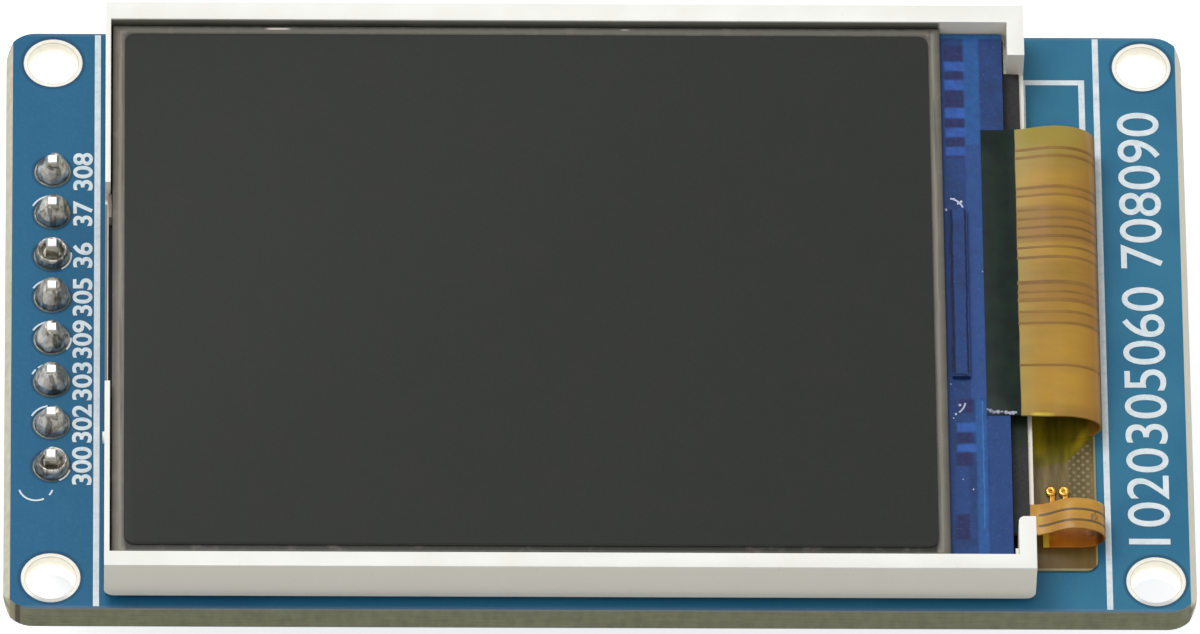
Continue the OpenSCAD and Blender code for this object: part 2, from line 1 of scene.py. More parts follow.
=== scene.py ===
import json
import math
import bpy
from mathutils import Matrix, Vector


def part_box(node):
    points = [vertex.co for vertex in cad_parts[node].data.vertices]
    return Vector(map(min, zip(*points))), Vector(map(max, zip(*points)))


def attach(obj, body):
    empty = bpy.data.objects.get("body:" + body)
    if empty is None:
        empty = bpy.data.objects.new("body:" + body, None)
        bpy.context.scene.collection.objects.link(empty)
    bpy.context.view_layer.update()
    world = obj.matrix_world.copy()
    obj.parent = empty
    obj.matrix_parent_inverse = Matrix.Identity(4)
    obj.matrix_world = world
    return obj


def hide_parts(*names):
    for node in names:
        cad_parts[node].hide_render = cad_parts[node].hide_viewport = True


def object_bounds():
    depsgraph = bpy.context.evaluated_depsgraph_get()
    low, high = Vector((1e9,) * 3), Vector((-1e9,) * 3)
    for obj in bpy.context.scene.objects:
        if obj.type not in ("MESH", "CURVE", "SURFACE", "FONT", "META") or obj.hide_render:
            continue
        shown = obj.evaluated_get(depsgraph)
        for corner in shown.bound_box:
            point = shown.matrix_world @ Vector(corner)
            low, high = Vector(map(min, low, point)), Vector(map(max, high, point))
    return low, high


# A small colour display on its blue carrier board, dressed for a soft studio picture.
# New pieces are modelled in millimetres and brought down to metres when they are finished.

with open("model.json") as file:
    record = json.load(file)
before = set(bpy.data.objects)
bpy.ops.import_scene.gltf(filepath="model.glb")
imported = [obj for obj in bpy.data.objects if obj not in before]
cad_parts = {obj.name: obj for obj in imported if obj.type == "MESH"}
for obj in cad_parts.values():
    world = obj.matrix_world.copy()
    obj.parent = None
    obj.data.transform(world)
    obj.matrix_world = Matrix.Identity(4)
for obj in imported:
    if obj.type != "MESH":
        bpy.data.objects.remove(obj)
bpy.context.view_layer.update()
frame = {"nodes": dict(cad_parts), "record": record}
print("frame loaded:", len(frame["nodes"]), "nodes")

mm = 0.001
body = "root"
weldGap = 0.0005  # corners closer than this are one


# Helpers for picking, shaping and finishing pieces


def pickUp(*pieces):
    bpy.ops.object.select_all(action="DESELECT")
    for piece in pieces:
        piece.select_set(True)
    bpy.context.view_layer.objects.active = pieces[0]
    return pieces[0]


def startEditing(piece, parts):  # everything is picked
    pickUp(piece)
    bpy.ops.object.mode_set(mode="EDIT")
    bpy.ops.mesh.select_mode(type=parts)
    bpy.ops.mesh.select_all(action="SELECT")


def stopEditing():
    bpy.ops.object.mode_set(mode="OBJECT")


def freshPiece(kind, parts="FACE", **settings):  # a new mesh, open for editing
    getattr(bpy.ops.mesh, f"primitive_{kind}_add")(**settings)
    piece = bpy.context.object
    startEditing(piece, parts)
    return piece


def pull(x, y, z):  # draws what is picked out into a new piece of surface
    bpy.ops.mesh.extrude_region_move(TRANSFORM_OT_translate={"value": (x, y, z)})


def turnOutward():
    bpy.ops.mesh.select_all(action="SELECT")
    bpy.ops.mesh.normals_make_consistent(inside=False)
    stopEditing()


def choose(piece, kind, test):  # test is given the middle of each vertex, edge or face, and its direction
    stopEditing()
    mesh = piece.data
    for group in (mesh.vertices, mesh.edges, mesh.polygons):
        group.foreach_set("select", [False] * len(group))
    for item in {"VERT": mesh.vertices, "EDGE": mesh.edges, "FACE": mesh.polygons}[kind]:
        if kind == "EDGE":
            a, b = (mesh.vertices[i].co for i in item.vertices)
            item.select = bool(test((a + b) / 2, (b - a).normalized()))
        else:
            item.select = bool(test(item.co if kind == "VERT" else item.center, item.normal))
    bpy.ops.object.mode_set(mode="EDIT")


def treat(piece, kind, **settings):  # adds a modifier and applies it
    pickUp(piece)
    modifier = piece.modifiers.new(kind.title(), kind)
    for name, value in settings.items():
        setattr(modifier, name, value)
    bpy.ops.object.modifier_apply(modifier=modifier.name)


def softenEdges(piece, edge, corner, steps=2, **settings):
    treat(piece, "BEVEL", width=edge, segments=steps, limit_method="ANGLE",
          angle_limit=math.radians(corner), **settings)


def meltTogether(piece, grain, rounds):  # one skin over everything, smoothed
    treat(piece, "REMESH", mode="VOXEL", voxel_size=grain, adaptivity=0.0)
    treat(piece, "SMOOTH", factor=0.5, iterations=rounds)


def joinUp(pieces):
    whole = pickUp(*pieces)
    if len(pieces) > 1:
        bpy.ops.object.join()
    return whole


def finishPiece(piece, name, material, stands=(), smooth=35):
    pickUp(piece)
    bpy.ops.object.transform_apply(location=True, rotation=True, scale=True)
    piece.data.transform(Matrix.Scale(mm, 4))
    if smooth:
        bpy.ops.object.shade_smooth_by_angle(angle=math.radians(smooth))
    piece.name = name
    piece.data.name = name
    piece.data.materials.clear()
    piece.data.materials.append(material)
    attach(piece, body)
    if stands:
        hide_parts(*stands)
    return piece


def span(node):  # lowest and highest corner of a node, in millimetres
    low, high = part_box(node)
    return low / mm, high / mm


def middle(node):
    low, high = span(node)
    return (low + high) / 2


def softened(node, edge, corner, steps):  # a copy of a node with its sharp edges rounded
    copy = bpy.data.objects.new(node + "_softened", frame["nodes"][node].data.copy())
    bpy.context.scene.collection.objects.link(copy)
    copy.data.transform(Matrix.Scale(1 / mm, 4))
    startEditing(copy, "VERT")
    bpy.ops.mesh.remove_doubles(threshold=weldGap)
    bpy.ops.mesh.dissolve_limited(angle_limit=math.radians(1))
    stopEditing()
    softenEdges(copy, edge, corner, steps, use_clamp_overlap=True, harden_normals=False)
    return copy


def rampLine(x0, z0, x1, z1, steps):
    return [(x0 + (x1 - x0) * i / steps, z0 + (z1 - z0) * (1 - math.cos(math.pi * i / steps)) / 2)
            for i in range(steps + 1)]


def arcLine(x, z, reachX, reachZ, start, end, steps):
    turns = [math.radians(start + (end - start) * i / steps) for i in range(steps + 1)]
    return [(x + reachX * math.cos(t), z + reachZ * math.sin(t)) for t in turns]


def lifted(route, lift):  # the same route, moved sideways out of the fold
    moved = []
    for i, (x, z) in enumerate(route):
        before, after = route[max(i - 1, 0)], route[min(i + 1, len(route) - 1)]
        alongX, alongZ = after[0] - before[0], after[1] - before[1]
        length = math.hypot(alongX, alongZ)
        moved.append((x - alongZ / length * lift, z + alongX / length * lift))
    return moved


# Helpers for materials: each adds to the finish that was started last, and colours are screen colours

finish = {}


def linear(colour):  # a screen colour as the linear colour that nodes hold
    return tuple(c / 255 / 12.92 if c < 11 else ((c / 255 + 0.055) / 1.055) ** 2.4 for c in colour) + (1.0,)


def startFinish(name, colour, roughness, gloss=0.5, metal=0.0):  # gives the place in millimetres
    material = bpy.data.materials.new(name)
    material.use_nodes = True
    sockets = material.node_tree.nodes["Principled BSDF"].inputs
    finish.update(material=material, tree=material.node_tree, sockets=sockets)
    for socket, value in (("Base Color", linear(colour)), ("Roughness", roughness),
                          ("Specular IOR Level", gloss), ("Metallic", metal)):
        sockets[socket].default_value = value
    return millimetres()


def feed(socket, value):
    if value is not None:
        finish["tree"].links.new(value, finish["sockets"][socket])


def dress(colour=None, roughness=None, normal=None):
    feed("Base Color", colour)
    feed("Roughness", roughness)
    feed("Normal", normal)
    return finish["material"]


def put(kind, inputs, **settings):
    node = finish["tree"].nodes.new(kind)
    for name, value in settings.items():
        setattr(node, name, value)
    for socket, value in inputs.items():
        if isinstance(value, bpy.types.NodeSocket):
            finish["tree"].links.new(value, node.inputs[socket])
        else:
            node.inputs[socket].default_value = value
    return node


def millimetres(stretch=(1, 1, 1), turn=(0, 0, 0)):
    place = put("ShaderNodeTexCoord", {}).outputs["Object"]
    return put("ShaderNodeMapping",
               {"Vector": place, "Scale": [s / mm for s in stretch], "Rotation": turn}).outputs[0]


def split(place):
    return put("ShaderNodeSeparateXYZ", {0: place}).outputs


def calc(operation, a, b=0.0, c=0.0):
    return put("ShaderNodeMath", {0: a, 1: b, 2: c}, operation=operation).outputs[0]


def noise(place, scale, detail=3.0, roughness=0.55, distortion=0.0):
    return put("ShaderNodeTexNoise",
               {"Vector": place, "Scale": scale, "Detail": detail, "Roughness": roughness,
                "Distortion": distortion}).outputs[0]


def drawnOut(stretch, scale=1.0, detail=3.0):  # noise drawn out along the axes
    return noise(millimetres(stretch), scale, detail)


def rise(value, low, high):  # 0 below low, 1 above high, smooth between
    return put("ShaderNodeMapRange", {"Value": value, "From Min": low, "From Max": high},
               interpolation_type="SMOOTHSTEP").outputs[0]


def fall(value, low, high):  # 1 below low, 0 above high
    return calc("SUBTRACT", 1.0, rise(value, low, high))


def within(value, low, high, soft=0.02):
    up = rise(value, low - soft, low + soft)
    down = rise(value, high - soft, high + soft)
    return calc("SUBTRACT", up, down)


def both(first, *others):
    for other in others:
        first = calc("MULTIPLY", first, other)
    return first


def apart(value, centre):  # how far a value is from the centre, to either side
    return calc("ABSOLUTE", calc("SUBTRACT", value, centre))


def scaled(value, times, plus):
    return calc("MULTIPLY_ADD", value, times, plus)


def shades(amount, *stops):
    node = put("ShaderNodeValToRGB", {0: amount})
    ramp = node.color_ramp
    while len(ramp.elements) < len(stops):
        ramp.elements.new(0.5)
    for element, (at, colour) in zip(ramp.elements, stops):
        element.position, element.color = at, linear(colour)
    return node.outputs[0]


def mottled(amount, dark, light):
    return shades(amount, (0.35, dark), (0.65, light))


def over(under, top, amount, strength=None):  # top shows where amount is 1
    if strength is not None:
        amount = both(amount, strength)
    under, top = (c if isinstance(c, bpy.types.NodeSocket) else linear(c) for c in (under, top))
    return put("ShaderNodeMix", {0: amount, 6: under, 7: top}, data_type="RGBA").outputs[2]


def relief(height, depth, under=None):  # depth in millimetres
    inputs = {"Height": height, "Strength": 1.0, "Distance": depth * mm}
    if under is not None:
        inputs["Normal"] = under
    return put("ShaderNodeBump", inputs).outputs[0]


def wearNodes(material, *nodes):  # carried-over nodes take their finish
    for node in nodes:
        materials = frame["nodes"][node].data.materials
        materials.clear()
        materials.append(material)


def dressCopy(node, name, material, edge, corner=40, steps=2):
    finishPiece(softened(node, edge, corner, steps), name, material, [node])


# Places that several materials and pieces share, in millimetres

boardLow, boardHigh = span("circuit_board")
frameLow, frameHigh = span("backlight_frame")
pinX = middle("header_pin_1").x
pinPitch = middle("header_pin_1").y - middle("header_pin_2").y
holes = [mount for mount in frame["record"]["mounts"] if mount["name"] == "mounting_holes"][0]["dims"]
holeX, holeY = holes["spacing_x_mm"] / 2, holes["spacing_y_mm"] / 2
holeRadius = holes["hole_r_mm"]
maskTop = span("solder_mask_top")[1].z


def holeDistance(place):  # distance from the middle of the nearest mounting hole
    axes = split(place)
    fromX = calc("SUBTRACT", calc("ABSOLUTE", axes["X"]), holeX)
    fromY = calc("SUBTRACT", calc("ABSOLUTE", axes["Y"]), holeY)
    return calc("SQRT", scaled(fromX, fromX, both(fromY, fromY)))


def landDistance(place):  # distance from the middle of the nearest solder land
    axes = split(place)
    fromX = calc("SUBTRACT", axes["X"], pinX)
    fromY = both(calc("SUBTRACT", calc("FRACT", calc("DIVIDE", axes["Y"], pinPitch)), 0.5), pinPitch)
    beyond = rise(calc("ABSOLUTE", axes["Y"]), 4 * pinPitch - 0.1, 4 * pinPitch)
    distance = calc("SQRT", scaled(fromX, fromX, both(fromY, fromY)))
    return calc("ADD", distance, both(beyond, 9.0))


# Materials of the carrier board

boardLook = {
    "blue": (33, 101, 138), "paleBlue": (47, 116, 147), "deepBlue": (28, 92, 130), "holeRim": (20, 56, 86),
    "maskShine": 0.34, "bevelWidth": 0.33, "glow": 0.18, "deepGlow": 0.38, "glowDepth": (0.7, 1.15),
    "edge": (140, 143, 114), "edgeDark": (118, 120, 92), "cream": (253, 251, 242),
    "creamDark": (245, 241, 227), "scorch": (66, 54, 34), "scored": (218, 214, 194),
    "scoredDark": (200, 196, 174), "scoredRight": (246, 244, 228),
    "haze": (74, 132, 168), "edgeHaze": (120, 134, 160), "shadow": (14, 16, 18), "burr": (120, 108, 88),
    "lip": (150, 156, 164), "paleCorner": (186, 176, 132), "stain": (60, 54, 40),
}
inkLook = {
    "white": (222, 231, 235), "thin": (190, 208, 220), "even": (216, 227, 232), "full": (234, 240, 241),
    "pinhole": (118, 158, 186),
}
platingLook = {"light": (182, 182, 178), "dark": (122, 122, 118)}


def maskMaterial():
    look = boardLook
    place = startFinish("board_mask", look["blue"], look["maskShine"], gloss=0.2)
    axes = split(place)
    cloud = noise(place, 0.14, 2.0)
    across = rise(axes["X"], boardLow.x, boardHigh.x)
    middleBlue = over(look["blue"], look["paleBlue"], across)
    colour = over(middleBlue, look["deepBlue"], rise(cloud, 0.4, 0.62), 0.45)
    fine = noise(place, 5.0, 4.0)
    colour = over(colour, look["haze"], rise(fine, 0.5, 0.75), 0.12)
    nearHole = within(holeDistance(place), 1.40, 1.62, 0.06)
    nearLand = within(landDistance(place), 0.86, 1.04, 0.05)
    rim = calc("MAXIMUM", nearHole, nearLand)
    colour = over(colour, look["holeRim"], rim, 0.55)
    nearEdge = rise(calc("ABSOLUTE", axes["Y"]), boardHigh.y - 0.22, boardHigh.y - 0.04)
    colour = over(colour, look["edgeHaze"], nearEdge, 0.35)
    under = both(within(axes["X"], frameLow.x + 0.2, frameHigh.x - 0.65, 0.05),
                 within(axes["Y"], frameLow.y + 0.2, frameHigh.y - 0.2, 0.05))
    under = both(under, rise(axes["Z"], maskTop - 0.5, maskTop - 0.1))
    colour = over(colour, look["shadow"], under)
    bumps = relief(noise(place, 1.6), 0.02)
    bumps = relief(fine, 0.004, bumps)
    shine = scaled(fine, 0.16, look["maskShine"] - 0.08)
    return dress(colour, shine, bumps)


def laminateMaterial():
    look = boardLook
    place = startFinish("glass_laminate", look["edge"], 0.6, gloss=0.3)
    axes = split(place)
    plies = drawnOut((0.5, 0.5, 7), 1.0, 4.0)
    cloth = drawnOut((2.2, 2.2, 1.0))
    wall = shades(scaled(cloth, 0.6, both(plies, 0.5)), (0.38, look["edgeDark"]), (0.72, look["edge"]))
    ends = apart(axes["X"], (boardLow.x + boardHigh.x) / 2)
    halfLength = (boardHigh.x - boardLow.x) / 2
    cream = shades(noise(place, 3.0, 4.0), (0.3, look["creamDark"]), (0.7, look["cream"]))
    scored = shades(noise(place, 2.4, 4.0), (0.3, look["scoredDark"]), (0.7, look["scored"]))
    toRight = both(rise(axes["X"], -1.0, 1.0), 0.75)
    scored = over(scored, look["scoredRight"], toRight)
    bevel = rise(ends, halfLength - look["bevelWidth"] - 0.01, halfLength - look["bevelWidth"] + 0.01)
    slope = within(axes["Z"], 0.59, 1.03)  # the broken middle between the two bevels
    bevel = both(bevel, calc("SUBTRACT", 1.0, both(slope, 0.7)))
    toHole = holeDistance(place)
    inHole = fall(toHole, 1.52, 1.56)
    colour = over(over(wall, scored, bevel), cream, inHole)
    burr = within(toHole, holeRadius - 0.015, holeRadius + 0.03, 0.012)
    top = rise(axes["Z"], maskTop - 0.12, maskTop - 0.04)
    colour = over(colour, look["burr"], both(burr, top), 0.55)
    front = fall(axes["Y"], boardLow.y + 0.5, boardLow.y + 0.9)
    lip = both(front, rise(axes["Z"], maskTop - 0.2, maskTop - 0.06))
    colour = over(colour, look["lip"], lip, 0.5)
    mark = both(front, within(axes["X"], boardLow.x + 0.60, boardLow.x + 0.84, 0.04))
    colour = over(colour, look["scorch"], mark, 0.9)
    corner = both(front, fall(axes["X"], boardLow.x + 0.5, boardLow.x + 0.62))
    colour = over(colour, look["paleCorner"], corner, 0.45)
    stain = both(front, rise(axes["X"], boardHigh.x - 0.42, boardHigh.x - 0.30))
    stain = both(stain, fall(axes["Z"], 1.1, 1.4))
    colour = over(colour, look["stain"], stain, 0.8)
    feed("Emission Color", cream)  # painted glow: the hole walls give off light of their own, standing in for light that comes through the thin walls and bounces up from the floor
    inWall = fall(toHole, holeRadius + 0.01, holeRadius + 0.04)
    depth = fall(axes["Z"], *look["glowDepth"])
    glow = scaled(depth, look["deepGlow"], look["glow"])
    feed("Emission Strength", both(inWall, glow))
    rough = relief(plies, 0.03)
    rough = relief(noise(place, 9.0, 4.0), 0.012, rough)
    return dress(colour, None, rough)


def inkMaterial():
    look = inkLook
    place = startFinish("white_ink", look["white"], 0.55, gloss=0.3)
    thin = noise(place, 2.2, 4.0, 0.65)
    colour = shades(thin, (0.22, look["thin"]), (0.45, look["even"]), (0.75, look["full"]))
    pinholes = fall(noise(place, 9.0, 2.0), 0.24, 0.30)
    colour = over(colour, look["pinhole"], pinholes, 0.7)
    return dress(colour, None, relief(thin, 0.01))


def tinMaterial(name, light, dark, roughness, grain):
    place = startFinish(name, light, roughness, metal=1.0)
    patches = noise(place, grain, 4.0)
    colour = shades(patches, (0.32, dark), (0.62, light))
    shine = scaled(patches, 0.25, roughness - 0.12)
    rough = relief(noise(place, grain * 3), 0.01)
    return dress(colour, shine, rough)


print("board materials")
inkFinish = inkMaterial()
platingFinish = tinMaterial("tin_plating", platingLook["light"], platingLook["dark"], 0.4, 3.0)
wearNodes(laminateMaterial(), "circuit_board")
wearNodes(maskMaterial(), "solder_mask_top", "solder_mask_bottom")
wearNodes(inkFinish, "printed_lines")
wearNodes(platingFinish, "header_plating", "ribbon_solder")


# Pins and their strip

pinLook = {"light": (204, 200, 188), "dark": (184, 179, 166), "tip": (255, 253, 248), "roughness": 0.34}
headerLook = {"edge": 0.06, "black": (30, 30, 31), "grey": (46, 46, 48)}


def plasticMaterial(name, colour, other, roughness, grain, depth, gloss=0.5):
    place = startFinish(name, colour, roughness, gloss)
    tint = mottled(noise(place, grain * 0.15), other, colour)
    fine = noise(place, grain, 4.0)
    return dress(tint, scaled(fine, 0.2, roughness - 0.1), relief(fine, depth))


def pinMaterial():
    look = pinLook
    place = startFinish("pin_metal", look["light"], look["roughness"], metal=1.0)
    drawn = drawnOut((4, 4, 0.4))
    colour = mottled(drawn, look["dark"], look["light"])
    top = span("header_pin_1")[1].z
    # painted highlight: the top end of each pin is painted near white, as if lit from above
    tip = rise(split(place)["Z"], top - 0.12, top - 0.02)
    colour = over(colour, look["tip"], tip)
    shine = scaled(drawn, 0.15, look["roughness"] - 0.07)
    return dress(colour, shine, relief(noise(place, 6.0, 2.0), 0.006))


print("pins and strip")
wearNodes(pinMaterial(), *[f"header_pin_{number}" for number in range(1, 9)])
stripFinish = plasticMaterial("header_plastic", headerLook["black"], headerLook["grey"], 0.45, 6.0, 0.01)
dressCopy("header_strip", "pin_strip", stripFinish, headerLook["edge"], 30)


# Solder joints, each with its own slump: rings are (radius, height) from the board up

solderLook = {
    "sides": 28, "roughness": 0.38, "lumps": 0.06, "lumpSize": 0.45, "grain": 0.035, "cutHeight": 0.62,
    "light": (204, 201, 194), "dark": (134, 130, 123), "bright": (226, 223, 217), "streak": (88, 85, 81),
    "foot": (62, 66, 76), "corner": 28, "rounds": 3,
}
dome = [(0.86, 0.0), (0.85, 0.16), (0.80, 0.42), (0.68, 0.70), (0.50, 0.94), (0.36, 1.04)]
cone = [(0.86, 0.0), (0.84, 0.12), (0.75, 0.38), (0.62, 0.66), (0.50, 0.92), (0.38, 1.05)]
hollow = [(0.86, 0.0), (0.86, 0.18), (0.80, 0.48), (0.70, 0.58), (0.56, 0.48), (0.45, 0.26)]
jointShapes = [  # rings, lean of the top to the right and rear, cuts as (compass angle, slope, distance)
    {"rings": cone, "lean": (0.06, 0.06), "cuts": [(150, 48, 0.44), (-35, 40, 0.50)]},
    {"rings": dome, "lean": (0.10, 0.02), "cuts": [(-20, 42, 0.47), (165, 60, 0.62)]},
    {"rings": hollow, "lean": (0.0, 0.0), "cuts": []},
    {"rings": dome, "lean": (0.05, 0.10), "cuts": [(175, 50, 0.56)]},
    {"rings": cone, "lean": (0.0, 0.05), "cuts": [(-10, 40, 0.46), (200, 55, 0.56)]},
    {"rings": dome, "lean": (-0.02, 0.04), "cuts": [(5, 45, 0.52), (170, 52, 0.55)]},
    {"rings": cone, "lean": (0.06, 0.0), "cuts": [(140, 40, 0.42), (-60, 50, 0.52)]},
    {"rings": hollow, "lean": (0.05, 0.08), "cuts": [(150, 45, 0.60)]},
]


def solderMaterial():
    look = solderLook
    place = startFinish("solder_metal", look["light"], look["roughness"], metal=1.0)
    # patchy tin: the solder's own dull and shiny patches, with the brightest stop as painted highlight
    patches = noise(place, 1.9, 4.0, 0.6, 0.8)
    colour = shades(patches, (0.34, look["dark"]), (0.52, look["light"]), (0.72, look["bright"]))
    # painted reflection: dark diagonal streaks stand for dark surroundings mirrored in the shiny solder
    streaks = noise(millimetres((2.6, 0.7, 0.7), turn=(0, 0, 0.8)), 1.0, 2.0)
    dark = rise(streaks, 0.54, 0.62)
    colour = over(colour, look["streak"], dark, 0.65)
    height = split(place)["Z"]
    # painted shade at the foot of each joint, where it meets the board
    foot = fall(height, maskTop, maskTop + 0.16)
    colour = over(colour, look["foot"], foot, 0.6)
    wrinkles = drawnOut((1.4, 1.4, 0.7), 1.6, 2.0)
    shine = scaled(patches, 0.3, look["roughness"] - 0.1)
    return dress(colour, shine, relief(wrinkles, 0.07))


def solderJoint(number, shape):
    look = solderLook
    rings = shape["rings"]
    joint = freshPiece("circle", vertices=look["sides"], radius=rings[0][0], fill_type="NGON")
    tall = max(height for radius, height in rings)
    middleX = middleY = 0.0
    for before, after in zip(rings, rings[1:]):
        step = after[1] - before[1]
        leanX, leanY = (lean * step / tall for lean in shape["lean"])
        pull(leanX, leanY, step)
        middleX, middleY = middleX + leanX, middleY + leanY
        size = after[0] / before[0]
        bpy.ops.transform.resize(value=(size, size, 1), center_override=(middleX, middleY, after[1]))
    for angle, slope, distance in shape["cuts"]:
        turn, tilt = math.radians(angle), math.radians(slope)
        way = (math.cos(turn) * math.sin(tilt), math.sin(turn) * math.sin(tilt), math.cos(tilt))
        spot = (math.cos(turn) * distance, math.sin(turn) * distance, tall * look["cutHeight"])
        bpy.ops.mesh.select_all(action="SELECT")
        bpy.ops.mesh.bisect(plane_co=spot, plane_no=way, use_fill=True, clear_outer=True, threshold=0.0001)
    turnOutward()
    softenEdges(joint, look["grain"], look["corner"])
    treat(joint, "REMESH", mode="VOXEL", voxel_size=look["grain"], adaptivity=0.0)
    joint.location = (pinX, middle(f"header_pin_{number}").y, boardHigh.z + 0.001)
    bpy.context.view_layer.update()
    lumps = bpy.data.textures.new(f"lumps{number}", "CLOUDS")
    lumps.noise_scale = look["lumpSize"]
    treat(joint, "DISPLACE", texture=lumps, texture_coords="GLOBAL", strength=look["lumps"], mid_level=0.5)
    treat(joint, "SMOOTH", factor=0.5, iterations=look["rounds"])
    finishPiece(joint, f"soldered_pin_{number}", solderFinish, [f"solder_joint_{number}"],
                smooth=60)


print("solder joints")
solderFinish = solderMaterial()
for number, shape in enumerate(jointShapes, 1):
    solderJoint(number, shape)


# Printed numbers and the thin rings round the joints

numberLook = {
    "pinColumn": -25.66, "pinTall": 0.98, "digitWide": 0.76, "thick": 0.02, "bold": 0.022, "plain": 0.002,
    "pinWords": ["308", "37", "36", "305", "309", "303", "302", "300"], "scaleWords": "1020305060 708090",
    "scaleColumn": 26.92, "scaleTall": 2.1, "scaleLow": -13.35, "scaleHigh": 12.75,
}
ringLook = {
    "width": 0.09, "thick": 0.015, "steps": 14, "sliver": 0.002,
    "arcs": [(2, 1.06, 92, 155), (3, 0.95, -60, 10), (4, 1.06, 105, 150), (5, 1.06, 105, 150),
             (5, 0.95, -40, 5), (6, 1.04, 112, 130), (6, 1.04, 138, 156), (7, 1.06, 100, 155),
             (8, 0.95, -65, -15)],  # number of the pin, radius, start and end in degrees
    "scuffs": [(-27.92, -10.12, 0.84, 195, 298), (-27.92, -10.12, 0.84, 322, 345)],
}


def printedText(words, weight, tall, wide, middleX, middleY):  # turned to read from the front edge upwards
    bpy.ops.object.text_add(rotation=(0, 0, math.pi / 2))
    text = bpy.context.object
    text.data.body = words
    text.data.extrude = 0.5
    text.data.offset = weight
    text.data.resolution_u = 6
    bpy.ops.object.convert(target="MESH")
    pickUp(text)
    bpy.ops.object.transform_apply(location=True, rotation=True, scale=True)
    low, high = ([end(v.co[i] for v in text.data.vertices) for i in range(3)] for end in (min, max))
    wanted = (tall, wide, numberLook["thick"])
    startEditing(text, "VERT")
    bpy.ops.transform.translate(value=[-(a + b) / 2 for a, b in zip(low, high)])
    bpy.ops.transform.resize(value=[size / (b - a) for size, a, b in zip(wanted, low, high)],
                             center_override=(0, 0, 0))
    bpy.ops.transform.translate(value=(middleX, middleY, maskTop + numberLook["thick"] / 2))
    stopEditing()
    return text


def printedArc(centreX, centreY, radius, start, end, level=maskTop):
    look = ringLook
    first = math.radians(start)
    beginning = (centreX + radius * math.cos(first), centreY + radius * math.sin(first),
                 level + look["thick"] / 2)
    bpy.ops.mesh.primitive_cube_add(size=1, location=beginning, rotation=(0, 0, first),
                                    scale=(look["width"], look["sliver"], look["thick"]))
    arc = bpy.context.object
    bpy.ops.object.transform_apply(location=True, rotation=True, scale=True)
    ahead = Vector((-math.sin(first), math.cos(first), 0))
    startEditing(arc, "FACE")
    choose(arc, "FACE", lambda spot, way: way.dot(ahead) > 0.9)
    bpy.ops.mesh.spin(steps=look["steps"], angle=math.radians(start - end), center=(centreX, centreY, 0),
                      axis=(0, 0, 1))
    stopEditing()
    return arc


print("numbers and rings")
look = numberLook
pinNumbers = []
for number, words in enumerate(look["pinWords"], 1):
    wide = look["digitWide"] * len(words)
    pinY = middle(f"header_pin_{number}").y
    pinNumbers.append(printedText(words, look["bold"], look["pinTall"], wide, look["pinColumn"], pinY))
finishPiece(joinUp(pinNumbers), "pin_numbers", inkFinish, smooth=0)
scaleMiddle, scaleWide = (look["scaleLow"] + look["scaleHigh"]) / 2, look["scaleHigh"] - look["scaleLow"]
scaleNumbers = printedText(look["scaleWords"], look["plain"], look["scaleTall"], scaleWide,
                           look["scaleColumn"], scaleMiddle)
finishPiece(scaleNumbers, "scale_numbers", inkFinish, smooth=0)
rings = [printedArc(pinX, middle(f"header_pin_{number}").y, radius, start, end)
         for number, radius, start, end in ringLook["arcs"]]
rings += [printedArc(*scuff) for scuff in ringLook["scuffs"]]
finishPiece(joinUp(rings), "joint_rings", inkFinish, smooth=0)


# The screen's white frame and what lies in it

frameLook = {
    "dent": (-18.57, -16.98, 3.2), "cut": 5.96, "edge": 0.07, "white": (246, 246, 240),
    "shade": (240, 240, 233), "wall": (242, 237, 221), "dimDark": (18, 22, 16), "dimLight": (52, 56, 44),
    "dimTop": (132, 132, 120), "dentShade": (146, 140, 118), "lip": (74, 88, 94), "speck": (176, 170, 154),
}
glassLook = {
    "dark": (47, 50, 47), "warm": (50, 51, 47), "dust": (70, 72, 69), "side": (88, 90, 86),
    "bare": (118, 115, 106), "line": (144, 140, 129), "gap": (62, 60, 55), "inner": (96, 92, 84),
    "outer": (92, 90, 84), "front": (44, 46, 43), "frontLine": (96, 95, 89), "rear": (116, 115, 107),
    "rearEnd": (80, 79, 74), "drawn": (84, 80, 74), "streak": (138, 134, 124), "glint": (244, 226, 222),
    "clear": (118, 134, 130), "clearDark": (84, 104, 100), "edge": 0.025, "sheetEdge": 0.03,
}
rimLook = {"tape": (52, 52, 53), "dark": (44, 44, 46), "light": (56, 56, 57), "green": (28, 44, 26),
           "cut": (10, 10, 12)}
innerPieces = [  # finish, its nodes, two colours, roughness, grain, depth and gloss
    ("foam_tape", ["rear_mounting_tape", "front_mounting_tape"],
     (236, 234, 224), (214, 211, 198), 0.8, 9.0, 0.03),
    ("white_film", ["reflector_film"], (238, 240, 240), (226, 229, 230), 0.4, 5.0, 0.003),
    ("pearly_film", ["diffuser_film", "lower_prism_film", "upper_prism_film"],
     (206, 212, 214), (188, 196, 200), 0.25, 12.0, 0.004),
    ("light_guide_acrylic", ["light_guide"], (170, 152, 140), (140, 122, 110), 0.18, 4.0, 0.02, 0.7),
    ("rear_sheet", ["rear_polarizer"], (64, 66, 70), (50, 52, 56), 0.3, 6.0, 0.003),
    ("bare_silicon", ["driver_chip"], (72, 74, 84), (54, 56, 66), 0.15, 3.0, 0.002, 0.8),
    ("lamp_body", ["front_backlight_lamp", "rear_backlight_lamp"],
     (240, 236, 214), (232, 214, 150), 0.4, 3.0, 0.005),
]


